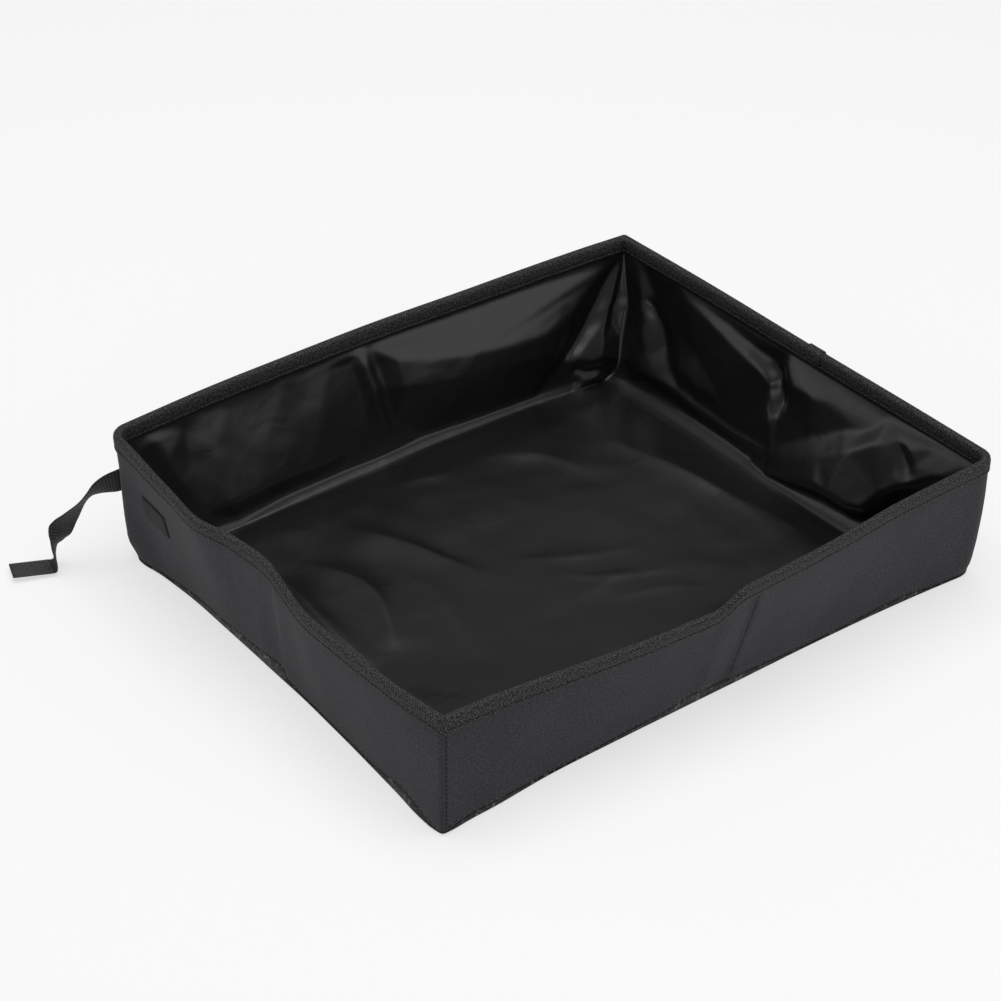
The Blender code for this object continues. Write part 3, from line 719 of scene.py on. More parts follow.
def material_named(key):
    """One of the tray's materials, made in the user's colour when it is first wanted."""
    if key not in made_materials:
        make, *values = MATERIAL_MAKERS[key]
        made_materials[key] = make(getattr(bpy.context.scene.litter_tray_colours, key), *values)
    return made_materials[key]


# Outer walls

# Where a middle crease's fold begins and ends, from the wall's middle, and how much of it shows on
# the two short walls.
CREASE_LINES = (-0.008, 0.010)
SHORT_WALL_FOLD = 0.6
# The outer cloth ends this far under the rim.
SHELL_TOP = 0.0022
SHELL_ROWS = 18
INNER_ROWS = 5
# The base cloth bends up round the foot, stands out a little, and is tucked in behind the seam.
BASE_THICKNESS = 0.0010
FOOT_RADIUS = 0.0018
FOOT_ROWS = 6
EDGE_THICKNESS = 0.0009
EDGE_OUT = -0.0007
EDGE_TUCKED = 0.0030


def seam_height(outline, station):
    """Height of the seam between the outer cloth and the base cloth."""
    return float(around(SEAM_LIFT, outline.distance(station) / MM, outline.total / MM)[0]) * MM


def crease_lean(outline, height):
    """How far a middle crease has strayed along the wall at a height."""
    return (height / outline.sizes.wall_height - 0.5) * 0.006


def shell_relief(outline, station, height):
    """How far the outer cloth stands out of its plane: board edges, creases and soft waves."""
    distance = outline.distance(station)
    relief = 0.0007 * soft_noise(distance, height, 0.055, 3.1)
    relief += 0.00035 * soft_noise(distance, height, 0.018, 7.7)
    if station.turn is None:
        off = station.run - outline.lengths[station.wall] / 2
        lean = crease_lean(outline, height)
        low, high = CREASE_LINES
        middle, half = (low + high) / 2 + lean, (high - low) / 2
        valley = 1 - smooth_step((abs(off - middle) - half + 0.004) / 0.007)
        fold = -0.0013 * valley
        fold += 0.0006 * math.exp(-(((off - low - lean - 0.004) / 0.0044) ** 2))
        fold += 0.0009 * math.exp(-(((off - low - lean + 0.010) / 0.005) ** 2)) * (1 - height / 0.112)
        relief += fold * (SHORT_WALL_FOLD if station.wall in (LEFT, RIGHT) else 1.0)
    return relief


def shell_profile(outline, station):
    """The wall pocket's section: outer cloth up under the tape, inner cloth down again."""
    top = outline.rim(station) - SHELL_TOP
    low = seam_height(outline, station)
    profile = []
    for i in range(SHELL_ROWS + 1):
        height = low + (top - low) * i / SHELL_ROWS
        relief = shell_relief(outline, station, height) * smooth_step((top - height) / 0.012)
        profile.append((-relief, height, height))
    for i in range(INNER_ROWS + 1):
        height = top + (low - top) * i / INNER_ROWS
        profile.append((outline.sizes.wall_pile - 0.0010, height, 0.12 + top - height))
    return profile


def build_shells(outline):
    """The outer cloth of the walls, all round."""
    build_ring(outline, "shell", "oxford", 0.006, shell_profile)


def base_edge_profile(outline, station):
    """The base cloth's turned-up edge: round the foot of the wall and under the outer cloth."""
    seam = seam_height(outline, station)
    distance = outline.distance(station)
    outer = []
    for i in range(FOOT_ROWS + 1):
        angle = math.pi / 2 * i / FOOT_ROWS
        depth = FOOT_RADIUS - FOOT_RADIUS * math.sin(angle) + EDGE_OUT
        height = FOOT_RADIUS - FOOT_RADIUS * math.cos(angle)
        outer.append((depth, height + 0.0001, height))
    upright = max(seam - 0.0016, FOOT_RADIUS + 0.0003) - FOOT_RADIUS
    for i in range(1, 5):
        height = FOOT_RADIUS + upright * i / 4
        crumple = 0.0011 * soft_noise(distance, height, 0.007, 1.3)
        crumple += 0.0006 * soft_noise(distance, height, 0.003, 4.3)
        crumple *= smooth_step((seam - 0.004) / 0.003)
        outer.append((EDGE_OUT + 0.0009 * i / 4 + crumple, height, height))
    outer.append((EDGE_TUCKED, max(seam - 0.0010, FOOT_RADIUS + 0.0006), seam))
    outer.append((EDGE_TUCKED, seam + 0.0020, seam + 0.002))
    return outer + [(depth + EDGE_THICKNESS, height + 0.0006, v) for depth, height, v in reversed(outer)]


def build_base_edges(outline):
    """The turned-up edge of the base cloth, all round."""
    build_ring(outline, "base_edge", "base", 0.006, base_edge_profile)


def build_base(outline):
    """The flat part of the base cloth, under the liner."""
    rim = []
    for station in outline.stations(0.020, 0.010):
        point = outline.place(station, 0.0050, 0.0)
        if not rim or (point - rim[-1]).length > 0.002:
            rim.append(point)
    count = len(rim)
    points = [Vector((p.x, p.y, height)) for height in (0.0, BASE_THICKNESS) for p in rim]
    faces = [list(range(count))[::-1], list(range(count, 2 * count))]
    faces += [(i, (i + 1) % count, count + (i + 1) % count, count + i) for i in range(count)]
    uvs = place_faces(points, faces, lambda p: (p.x, p.y))
    piece = mesh_piece("base_cloth_sheet", points, faces, material_named("base"), uvs, smooth=False)
    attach(piece, "front_wall")
    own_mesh(piece)
    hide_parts("base_cloth")


# Rim binding

TAPE_STANDS_OFF = 0.0011
TAPE_THICKNESS = 0.0009
TAPE_JOIN_THICKNESS = 0.0007


def tape_profile(outline, station, lift=0.0):
    """The tape's section over the rim, a little loose, with its lower edges turned under."""
    sizes = outline.sizes
    rim = outline.rim(station)
    distance = outline.distance(station)
    wave = 0.00025 * soft_noise(distance, 0.0, 0.020, 2.2)
    ripple = 0.00035 * soft_noise(distance, 0.3, 0.011, 5.2)
    drop = sizes.tape_drop + 0.0004 * soft_noise(distance, 0.6, 0.030, 8.1)
    out, inn = -TAPE_STANDS_OFF - lift, sizes.wall_pile + TAPE_STANDS_OFF + lift
    # One face's half of the section from its lower edge up: how far in from its face, and height.
    half = (
        (0.0002, -drop),
        (0.0, -drop + 0.0008),
        (0.0001, -drop + 0.0018),
        (0.0006, -drop + 0.0027),
        (0.0001, -drop + 0.0036),
        (wave, -drop * 0.62),
        (ripple, -drop * 0.5),
        (wave, -0.0034),
        (0.0004, -0.0016),
        (0.0014, -0.0005 + lift),
    )
    section = [(out + depth, height) for depth, height in half]
    section.append(((out + inn) / 2, 0.0 + lift))
    section += [(inn - depth, height) for depth, height in reversed(half)]
    hem, under = -drop + 0.0001, -0.0020
    section += [(inn - TAPE_THICKNESS, hem), (inn - TAPE_THICKNESS, under)]
    section += [(out + TAPE_THICKNESS, under), (out + TAPE_THICKNESS, hem)]
    profile, across = [], 0.0
    previous = section[0]
    for depth, height in section:
        across += math.hypot(depth - previous[0], height - previous[1])
        previous = (depth, height)
        profile.append((depth, rim + height, across))
    return profile


def build_binding(outline):
    """The twill tape folded over the rim."""
    build_ring(outline, "binding", "tape", 0.005, tape_profile)


def build_tape_join(outline):
    """Where the tape's end laps over its start, frayed, at the middle of the right wall."""
    start, length, steps = 0.181, 0.016, 8
    stations = [Station(RIGHT, start + length * i / steps, None) for i in range(steps + 1)]
    rows, across = [], []
    for station in stations:
        ragged = 0.0007 * soft_noise(station.run, 0.0, 0.002, 9.0) * (station is stations[-1])
        profile = tape_profile(outline, station, lift=0.0009)[1:18]
        rows.append([outline.place(station, depth, height + ragged) for depth, height, _v in profile])
        across.append([v for _depth, _height, v in profile])
    faces, uvs = strip_faces(rows, [station.run for station in stations], across, closed=False)
    piece = mesh_piece("tape_join", sum(rows, []), faces, material_named("tape"), uvs)
    solid = piece.modifiers.new("tape", "SOLIDIFY")
    solid.thickness = TAPE_JOIN_THICKNESS
    fasten(piece, outline, "right_front")


# Stitches

STITCH_SIDES = 6
# Along a stitch: the share of its length, and how thick it is there.
STITCH_RINGS = ((0.0, 0.45), (0.2, 0.95), (0.5, 1.1), (0.8, 0.95), (1.0, 0.45))
# Where the thread shows in each pitch of a row: of a row round the tray, of a crease, of a corner
# seam and of a box, whose stitches are about BOX_PITCH long.
RING_SPAN = (0.12, 0.82)
CREASE_SPAN = (0.12, 0.85)
SEAM_SPAN = (0.1, 0.72)
BOX_SPAN = (0.1, 0.85)
BOX_PITCH = 0.003
SEAM_PITCH = 0.0036


def flat_way(way):
    """A way in plan as a level way in space."""
    return Vector((way.x, way.y, 0))


def stitch_mesh(name, seats, regions=None):
    """Raised stitches. Each seat is a start, an end, the way out of the cloth and a width."""
    points, faces, owners = [], [], []
    for number, (start, end, out, width) in enumerate(seats):
        along = end - start
        side = along.cross(out).normalized() * width / 2
        up = out.normalized() * width / 2
        first = len(points)
        for share, size in STITCH_RINGS:
            middle = start + along * share - up * (0.9 - 0.9 * size)
            for i in range(STITCH_SIDES):
                angle = math.pi * 2 * i / STITCH_SIDES
                points.append(middle + side * math.cos(angle) * size + up * math.sin(angle) * size)
        for a in range(first, len(points) - STITCH_SIDES, STITCH_SIDES):
            b = a + STITCH_SIDES
            for k in range(STITCH_SIDES):
                m = (k + 1) % STITCH_SIDES
                faces.append((a + k, a + m, b + m, b + k))
        faces.append(tuple(range(first, first + STITCH_SIDES)))
        faces.append(tuple(reversed(range(len(points) - STITCH_SIDES, len(points)))))
        owners += [number] * (len(faces) - len(owners))
    uvs = [[((v // STITCH_SIDES) * 0.0008, (v % STITCH_SIDES) * 0.0003) for v in face] for face in faces]
    if regions is None:
        return mesh_piece(name, points, faces, material_named("thread"), uvs)
    return split_pieces(name, points, faces, uvs, [regions[o] for o in owners], material_named("thread"))


def stations_every(outline, pitch):
    """Stations every pitch all round the ring."""
    made = []
    distance = 0.0
    while distance < outline.total - 0.001:
        wall = max(w for w in range(4) if distance >= outline.starts[w] - 1e-9)
        following = (wall + 1) % 4
        run = distance - outline.starts[wall]
        left = outline.lengths[wall] - run
        if run < outline.radii[wall]:
            made.append(Station(wall, 0.0, 0.5 + run / outline.radii[wall] / 2))
        elif run > outline.lengths[wall] - outline.radii[following]:
            made.append(Station(following, 0.0, 0.5 - left / outline.radii[following] / 2))
        else:
            made.append(Station(wall, run, None))
        distance += pitch
    return made


def stitch_ring(outline, name, width, place_at, facing=1):
    """A row of stitches all round the tray, cut where the tray folds."""
    pitch = outline.sizes.thread_pitch
    row = stations_every(outline, pitch)
    seats, regions = [], []
    for here, there in zip(row, row[1:] + row[:1]):
        a, b = place_at(here), place_at(there)
        if 0.001 <= (b - a).length <= 2 * pitch:
            out = flat_way(outline.outward(here) * facing)
            seats.append((*[a.lerp(b, share) for share in RING_SPAN], out, width))
            regions.append(region_of(outline, here))
    for region, piece in stitch_mesh(name, seats, regions).items():
        fasten(piece, outline, region)


def stitch_column(outline, low, high, pitch, spans, station_at, width):
    """Seats of a row of stitches that runs up a wall's outer cloth."""
    seats = []
    for i in range(int((high - low) / pitch)):
        ends = []
        for span in spans:
            height = low + (i + span) * pitch
            station = station_at(height)
            ends.append(outline.place(station, -shell_relief(outline, station, height) - 0.0001, height))
        seats.append((*ends, flat_way(outline.outward(station)), width))
    return seats


def stitch_lines(outline, wall, lines, depth_at, out, width):
    """Seats of stitches along straight lines on a wall, each from one (run, height) to another."""
    seats = []
    for (r0, z0), (r1, z1) in lines:
        count = max(3, round(math.hypot(r1 - r0, z1 - z0) / BOX_PITCH))
        for i in range(count):
            ends = []
            for share in [(i + span) / count for span in BOX_SPAN]:
                station = Station(wall, r0 + (r1 - r0) * share, None)
                height = z0 + (z1 - z0) * share
                ends.append(outline.place(station, depth_at(station, height), height))
            seats.append((*ends, out, width))
    return seats


def box_corners(start, stop, low, high):
    """The corners of a box of stitches, as runs and heights."""
    return [(start, low), (stop, low), (stop, high), (start, high)]


def build_rim_stitches(outline):
    """Two rows of stitches through the tape, one on each face."""
    sizes = outline.sizes
    for name, depth, facing in (("outer", -0.0008, 1), ("inner", sizes.wall_pile + 0.0008, -1)):
        stitch_ring(
            outline, f"{name}_stitches", sizes.thread_width,
            lambda s: outline.place(s, depth, outline.rim(s) - sizes.tape_drop + 0.0027), facing,
        )


def build_crease_stitches(outline):
    """The stitched line down each long wall's middle crease."""
    sizes = outline.sizes
    high = sizes.wall_height - sizes.tape_drop - 0.001
    for wall, region in ((FRONT, "front"), (BACK, "back")):
        middle = outline.lengths[wall] / 2 + CREASE_LINES[1]
        seats = stitch_column(
            outline, 0.016, high, sizes.thread_pitch, CREASE_SPAN,
            lambda height: Station(wall, middle + crease_lean(outline, height), None), sizes.thread_width,
        )
        fasten(stitch_mesh(f"{region}_crease_stitches", seats), outline, region)


def build_foot_stitches(outline):
    """The row of stitches just above the seam between the outer cloth and the base cloth."""

    def place_at(station):
        height = seam_height(outline, station) + 0.0016
        return outline.place(station, -shell_relief(outline, station, height) - 0.00005, height)

    stitch_ring(outline, "foot_stitches", outline.sizes.thread_width * 0.8, place_at)


def build_corner_seams(outline):
    """The ridge down each sewn corner, and the stitches beside it."""
    sizes = outline.sizes
    sides, steps, foot = 10, 16, 0.006
    for wall, name, region in (
        (FRONT, "front_left_corner_seam", "entry_hinge"),
        (BACK, "back_right_corner_seam", "back"),
    ):
        corner = Station(wall, 0.0, 0.5)
        top = outline.rim(corner) - sizes.tape_drop + 0.001
        heights = [0.0, 0.0012, 0.003] + [foot + (top - foot) * i / steps for i in range(steps + 1)]
        points, faces, uvs = [], [], []
        for height in heights:
            size = 0.0013 * (0.45 + 0.55 * smooth_step(height / foot))
            size *= 1 + 0.12 * soft_noise(height, 0.0, 0.008, wall)
            middle = outline.place(corner, 0.0010, height)
            for i in range(sides):
                angle = math.pi * 2 * i / sides
                points.append(middle + Vector((math.cos(angle) * size, math.sin(angle) * size, 0)))
        for i, (low, high) in enumerate(zip(heights, heights[1:])):
            for k in range(sides):
                m = (k + 1) % sides
                near, far = k * MM, k * MM + MM
                faces.append((i * sides + k, i * sides + m, (i + 1) * sides + m, (i + 1) * sides + k))
                uvs.append(((near, low), (far, low), (far, high), (near, high)))
        faces.append(tuple(range(sides))[::-1])
        uvs.append([(0.0, 0.0)] * sides)
        ridge = mesh_piece(name + "_ridge", points, faces, material_named("oxford"), uvs)
        fasten(ridge, outline, region, name)
        beside = Station(wall, 0.0034, None)
        seats = stitch_column(
            outline, 0.004, top, SEAM_PITCH, SEAM_SPAN, lambda _height: beside, sizes.thread_width * 1.7
        )
        fasten(stitch_mesh(name + "_stitches", seats), outline, region)


# Boards

BOARD_DEPTHS = (0.0014, 0.0034)
BOARD_CORNER = 0.006
BOARD_FOOT = 0.016
# Each board's wall, the runs it lies between, its name and its region.
BOARDS = (
    (FRONT, 0.018, 0.232, "front_left_board", "front"),
    (FRONT, 0.268, 0.482, "front_right_board", "front"),
    (RIGHT, 0.018, 0.192, "right_front_board", "right_front"),
    (RIGHT, 0.228, 0.402, "right_back_board", "right_back"),
    (BACK, 0.018, 0.232, "back_right_board", "back"),
    (BACK, 0.268, 0.482, "back_left_board", "back"),
    (LEFT, 0.018, 0.192, "left_back_board", "left_back"),
    (LEFT, 0.228, 0.402, "left_front_board", "left_front"),
)


def build_boards(outline):
    """The stiffener boards inside the walls, bent as the walls stand."""
    across, up = 24, 8
    for wall, start, stop, name, region in BOARDS:

        def place_at(layer, i, k):
            station = Station(wall, start + (stop - start) * i / across, None)
            edge = min(i, across - i) * (stop - start) / across
            inset = max(BOARD_CORNER - edge, 0.0)
            inset = BOARD_CORNER - math.sqrt(max(BOARD_CORNER**2 - inset**2, 0.0))
            low, high = BOARD_FOOT + inset, outline.rim(station) - 0.005 - inset
            return outline.place(station, BOARD_DEPTHS[layer], low + (high - low) * k / up)

        piece = panel_piece(
            name + "_bent", "board", across, up, place_at, 0, lambda p: p.x + p.y, smooth=False
        )
        fasten(piece, outline, region, name)


# The loose liner



def upright(run, *places):
    """A crease at one run, from its heights and depths."""
    return tuple((run, height, depth) for height, depth in places)


# The liner hangs in flat facets between creases. Each crease is a row of points on its wall:
# run along the wall, height, and depth inwards, all in mm. The first and the last crease of a
# wall are its two ends, where it meets its neighbours.
LINER_REACH = {FRONT: 27.0, RIGHT: 46.0, BACK: 27.0, LEFT: 27.0}
LINER_CREASES = {
    FRONT: (
        upright(0, (98.5, 4.9), (84, 9), (60, 13), (30, 18), (10, 21), (4, 23), (2, 27)),
        ((40, 92, 6.5), (52, 60, 15), (60, 24, 20)),
        ((110, 92, 7.5), (116, 60, 17), (112, 22, 21)),
        ((150, 90, 5.5), (146, 55, 9.5), (150, 20, 16)),
        ((205, 90, 7.5), (212, 58, 13), (205, 22, 18)),
        ((244, 90, 8.5), (254, 50, 15), (248, 16, 19)),
        ((300, 92, 5.6), (296, 50, 10), (300, 16, 15)),
        ((384, 92, 8.5), (392, 55, 17), (388, 20, 20)),
        ((436, 90, 5.8), (440, 50, 10), (434, 18, 16)),
        ((470, 92, 7), (476, 60, 15), (472, 24, 20)),
        ((30, 8, 21), (110, 8, 18), (250, 8, 15), (390, 8, 17), (470, 8, 20)),
        ((30, 3, 22.5), (110, 3, 20), (250, 3, 17), (390, 3, 19), (470, 3, 22)),
        upright(500, (98.5, 4.9), (88, 8), (60, 12), (30, 18), (10, 22), (4, 24), (2, 27)),
    ),
    RIGHT: (
        upright(0, (98.5, 4.9), (88, 7), (60, 11), (30, 17), (10, 23), (4, 30), (2, 46)),
        ((351, 97, 5.4), (321, 94.5, 6.3), (291, 91, 7.2), (263, 87, 8.2), (240, 82, 9.2)),
        ((345, 92, 7.5), (321, 88, 10.2), (292, 83, 13), (261, 78, 15.8), (244, 75, 16.8), (231, 71, 17.4)),
        ((231, 71, 17.4), (232, 64, 18.6), (230, 56, 19.8), (224, 50.5, 20.9), (216, 49, 21.2)),
        ((230, 86, 6.5), (226, 77, 7), (222, 66, 8.5), (219, 58, 11.5)),
        ((215, 97, 5.8), (214, 88, 11.5), (212, 77, 15), (205, 66, 17.5), (208, 55, 20.4), (216, 49, 21.2)),
        ((202, 79, 16.8), (180, 80, 16.6), (166, 82, 14)),
        ((222, 43, 25.5), (217, 31, 29)),
        (
            (392, 21, 31.5), (360, 22, 31), (315, 18, 31.3), (263, 17, 31.8), (214, 20, 33),
            (177, 33, 34), (151, 46, 32.5),
            (122, 63, 29), (101, 79, 21.5), (88, 87, 14.5), (51, 95, 8.5),
        ),
        ((208, 29, 29), (173, 50, 24.5), (139, 70, 18.5), (121, 77, 16), (110, 87, 11), (103, 94.5, 6.5)),
        ((376, 70, 9), (358, 53, 16.5), (353, 45, 20.5), (346, 39, 25.5), (320, 34, 27.5), (297, 34, 27)),
        ((297, 34, 27), (292, 40, 24.8), (330, 55, 18), (376, 70, 9)),
        ((328, 28, 26.5), (303, 27, 26.5)),
        ((392, 66, 7.5), (377, 46, 12), (364, 34, 20)),
        ((404, 97, 6.5), (399, 74, 13), (396, 52, 19), (392, 32, 25)),
        ((396, 97, 5), (386, 78, 6.5)),
        ((380, 26, 27.5), (340, 25, 27.5), (315, 21.5, 28.3), (263, 20.5, 28.8), (219, 23.5, 30)),
        ((388, 13, 30), (346, 11, 29.6), (315, 9, 30), (263, 8.5, 31), (232, 9.5, 32)),
        ((400, 7, 32.5), (389, 5.5, 33.5), (327, 4.6, 34.5), (266, 4.6, 35), (232, 4.8, 35)),
        ((404, 3.4, 36.5), (327, 2.9, 38), (232, 2.9, 38.5), (150, 2.9, 40), (60, 2.9, 40)),
        ((408, 60, 17), (400, 48, 22.5), (404, 34, 26)),
        ((205, 10, 39.5), (175, 18, 42), (141, 28, 44), (123, 29, 45), (104, 28, 44.5), (86, 31, 42)),
        ((86, 31, 42), (75, 47, 33), (60, 61, 26.5), (40, 78, 18), (24, 90, 11)),
        (
            (205, 5, 38), (175, 8, 36), (141, 12, 33), (104, 12, 32), (84, 15, 30), (66, 34, 20),
            (40, 56, 14),
        ),
        ((80, 81, 14.5), (68, 74, 17.5), (60, 68, 21.5)),
        ((84, 79, 19), (75, 71, 22), (68, 64, 25.5)),
        ((73, 85, 16), (62, 77, 18.5), (54, 70, 21.5)),
        upright(
            420, (98.5, 4.9), (80, 8), (66, 11), (58, 15), (48, 19), (36, 24), (20, 30), (12, 33), (5, 36),
            (2, 46)
        ),
    ),
    BACK: (
        upright(
            0, (98.5, 4.9), (80, 10), (66, 15), (58, 20), (48, 22), (36, 25), (20, 30), (12, 31), (5, 29),
            (2, 27)
        ),
        ((1.5, 90, 5.6), (4, 76, 8), (7, 62, 12.5), (9, 48, 17)),
        ((3.5, 96, 5.8), (10, 78, 11.5), (16, 60, 17.5), (17, 52, 20.5), (30, 40, 21.5), (44, 27, 22)),
        ((17, 52, 20.5), (18, 38, 25.5), (20, 24, 30)),
        ((44, 27, 22), (32, 22, 27), (20, 24, 30), (9, 21, 30)),
        ((40, 20, 19), (28, 14, 23), (14, 13, 26)),
        ((48, 15, 20), (36, 9.6, 25), (20, 9, 30)),
        ((8, 90, 5), (20, 74, 7), (28, 58, 10), (34, 46, 12.5), (41, 35, 14.5)),
        ((15, 93, 5.8), (33, 83, 9.5), (47, 73, 14), (57, 64, 17.5), (66, 59, 20)),
        ((52, 44, 14.5), (55, 28, 17)),
        ((66, 59, 20), (85, 60, 21.6), (120, 62, 21.6), (162, 66, 20.3), (200, 72, 17), (234, 80, 12.6)),
        ((72, 42, 23), (92, 43, 24.5), (124, 44, 24.5), (164, 47, 23.5), (204, 53, 20.5), (230, 58, 17.5)),
        ((258, 96, 5), (252, 80, 7.6), (246, 62, 11.5), (238, 30, 15.5)),
        ((268, 95, 6.8), (262, 80, 11.2), (256, 62, 15), (248, 32, 17)),
        ((276, 90, 5.4), (270, 70, 9.2), (266, 42, 14)),
        ((296, 92, 6.0), (292, 62, 11.6), (288, 24, 18)),
        ((317, 92, 6.2), (310, 64, 12.8), (303, 22, 19.5)),
        ((336, 92, 6.0), (331, 62, 12.0), (325, 22, 20)),
        ((365, 92, 6.0), (360, 66, 12.2), (356, 24, 21.5)),
        ((392, 92, 6.0), (390, 64, 12.6), (386, 24, 22.5)),
        ((416, 92, 6.4), (415, 64, 14.0), (413, 24, 24.5)),
        ((434, 92, 5.8), (438, 62, 12.4), (438, 24, 22)),
        ((470, 97, 5.2), (461, 90, 8.4), (454, 76, 12.4), (452, 58, 15.5)),
        ((480, 88, 7), (473, 72, 9.4), (470, 50, 14)),
        (
            (40, 8.5, 22), (86, 8.2, 19.5), (146, 7, 18), (206, 8.5, 16), (250, 6, 18.5), (300, 7.5, 18),
            (356, 8.4, 19), (412, 8.5, 23), (470, 8.5, 22),
        ),
        (
            (40, 3.2, 24.5), (86, 3, 22.5), (146, 3.4, 21.5), (206, 2.8, 21.5), (250, 3.6, 22.5),
            (300, 2.8, 22.5), (346, 3, 23), (412, 3.2, 25.4), (470, 3.2, 25),
        ),
        upright(500, (98.5, 4.9), (86, 8), (60, 12), (30, 17), (10, 21), (4, 23), (2, 27)),
    ),
    LEFT: (
        upright(0, (98.5, 4.9), (86, 8), (60, 12), (30, 17), (10, 21), (4, 23), (2, 27)),
        ((40, 92, 7.5), (50, 60, 15), (46, 24, 20)),
        ((84, 92, 5.6), (82, 56, 10), (88, 20, 16)),
        ((120, 92, 8), (112, 60, 16.5), (116, 22, 20)),
        ((165, 90, 5.6), (160, 55, 11), (166, 20, 16)),
        ((205, 90, 8), (212, 55, 15), (206, 20, 19)),
        ((250, 90, 5.6), (256, 50, 10), (250, 20, 15)),
        ((300, 90, 8), (312, 56, 16), (306, 22, 20)),
        ((350, 90, 5.8), (344, 52, 10), (352, 20, 16)),
        ((388, 90, 7.5), (380, 60, 15), (386, 24, 20)),
        ((30, 8, 20), (110, 8, 18), (210, 8, 16), (320, 8, 18), (390, 8, 20)),
        ((30, 3, 22), (110, 3, 20), (210, 3, 18), (320, 3, 20), (390, 3, 22)),
        upright(420, (98.5, 4.9), (84, 9), (60, 13), (30, 18), (10, 21), (4, 23), (2, 27)),
    ),
}
# Heights of the liner's rows in mm: under the tape down to its edge, over the wall, and over the
# bend into the floor. Then the liner's depth at the tape's edge.
TAPE_EDGE = 98.5
WALL_FOOT = 8.0
WALL_ROWS = 42
FLOOR_HEIGHT = 2.0
LINER_HEIGHTS = (
    109.0, 104.0, TAPE_EDGE,
    *(TAPE_EDGE + (WALL_FOOT - TAPE_EDGE) * row / WALL_ROWS for row in range(1, WALL_ROWS + 1)),
    6.5, 5.2, 4.1, 3.2, 2.5, FLOOR_HEIGHT,
)
LINER_ROWS = len(LINER_HEIGHTS)
TAPE_DEPTH = 4.9
# Cells of the liner's floor, columns along a wall's foot as well, and steps of a corner's turn.
FLOOR_COLUMNS = 200
FLOOR_ROWS = 168
LINER_TURNS = 6
# How far a crease is rounded, in mm: the coating bends over about this radius.
CREASE_ROUND = 1.5
# Wrinkles of the liner's floor: points in plan in mm, height, and width on either side.
FLOOR_FOLDS = (
    (((-97, 134), (-74, 87), (-62, 52), (-44, 4)), 3.0, 7, 20),
    (((-24, 20), (20, -10), (76, -30)), 1.5, 10, 7),
    (((-12, -60), (30, -50), (82, -74)), 1.6, 11, 7),
    (((-8, -14), (14, -40), (48, -56)), 1.3, 8, 6),
    (((4, -70), (45, -80), (80, -104)), 1.3, 10, 7),
    (((-150, 112), (-132, 66), (-137, 20), (-164, -26)), 5.5, 10, 14),
    (((-176, 104), (-186, 62), (-192, 20), (-188, -34)), 6.5, 14, 12),
    (((-204, -40), (-196, -120), (-160, -162), (-60, -168)), 12.0, 42, 18),
    (((-100, 60), (-92, 16), (-112, -52)), 2.4, 12, 12),
    (((-40, -140), (70, -150), (150, -158)), 5.0, 24, 16),
    (((140, 140), (154, 76), (171, -10), (188, -120)), 4.0, 20, 13),
    (((40, 150), (90, 120), (110, 60)), 1.6, 18, 10),
    (((-30, 160), (20, 140)), 1.5, 12, 8),
)


def smooth_route(route, per_span):
    """Points read from a smooth curve through a route's own points."""
    out = []
    for i in range(len(route) - 1):
        before, here = route[max(i - 1, 0)], route[i]
        there, after = route[i + 1], route[min(i + 2, len(route) - 1)]
        for step in range(per_span):
            t = step / per_span
            mixed = []
            for a, b, c, d in zip(before, here, there, after):
                bend = (2 * a - 5 * b + 4 * c - d) * t + (3 * b - a - 3 * c + d) * t * t
                mixed.append(b + ((c - a) + bend) * t / 2)
            out.append(tuple(mixed))
    out.append(route[-1])
    return out


def fold_heights(places):
    """How far the folds raise the floor of the liner at many places, in mm."""
    raised = np.zeros(len(places))
    for line, height, near, far in FLOOR_FOLDS:
        line = np.array(smooth_route(line, 6))
        lengths = np.hypot(*np.diff(line, axis=0).T)
        nearest = np.full(len(places), np.inf)
        side, along, gone = np.zeros(len(places)), np.zeros(len(places)), 0.0
        for start, end, length in zip(line, line[1:], lengths):
            way, reach = end - start, places - start
            share = np.clip(reach @ way / length**2, 0, 1)
            off = np.hypot(*(reach - share[:, None] * way).T)
            closer = off < nearest
            nearest = np.where(closer, off, nearest)
            side = np.where(closer, way[0] * reach[:, 1] - way[1] * reach[:, 0], side)
            along = np.where(closer, (gone + share * length) / lengths.sum(), along)
            gone += length
        width = np.where(side > 0, near, far)
        taper = np.sin(np.pi * np.clip(along, 0, 1)) ** 1.2
        raised += height * taper * np.exp(-((nearest / width) ** 1.35))
    return raised


def crease_facets(wall, length):
    """The flat facets between a wall's creases: corners as run, height and depth."""
    borders = (
        ((0, TAPE_EDGE, TAPE_DEPTH), (length, TAPE_EDGE, TAPE_DEPTH)),
        ((0, FLOOR_HEIGHT, LINER_REACH[wall]), (length, FLOOR_HEIGHT, LINER_REACH[wall])),
    )
    places, depths, edges = [], [], []
    for line in LINER_CREASES[wall] + borders:
        first = len(places)
        for run, height, depth in line:
            places.append(Vector((run, height)))
            depths.append(depth)
        edges += [(i, i + 1) for i in range(first, len(places) - 1)]
    made, _edges, faces, origins, _edge_origins, _face_origins = delaunay_2d_cdt(places, edges, [], 0, 0.05)
    if any(not origin for origin in origins):
        crossed = [tuple(round(c) for c in made[i]) for i, origin in enumerate(origins) if not origin]
        raise ValueError(f"liner creases cross on wall {wall} at {crossed}")
    corners = [(made[i].x, made[i].y, depths[origins[i][0]]) for i in range(len(made))]
    return [[corners[i] for i in face] for face in faces]


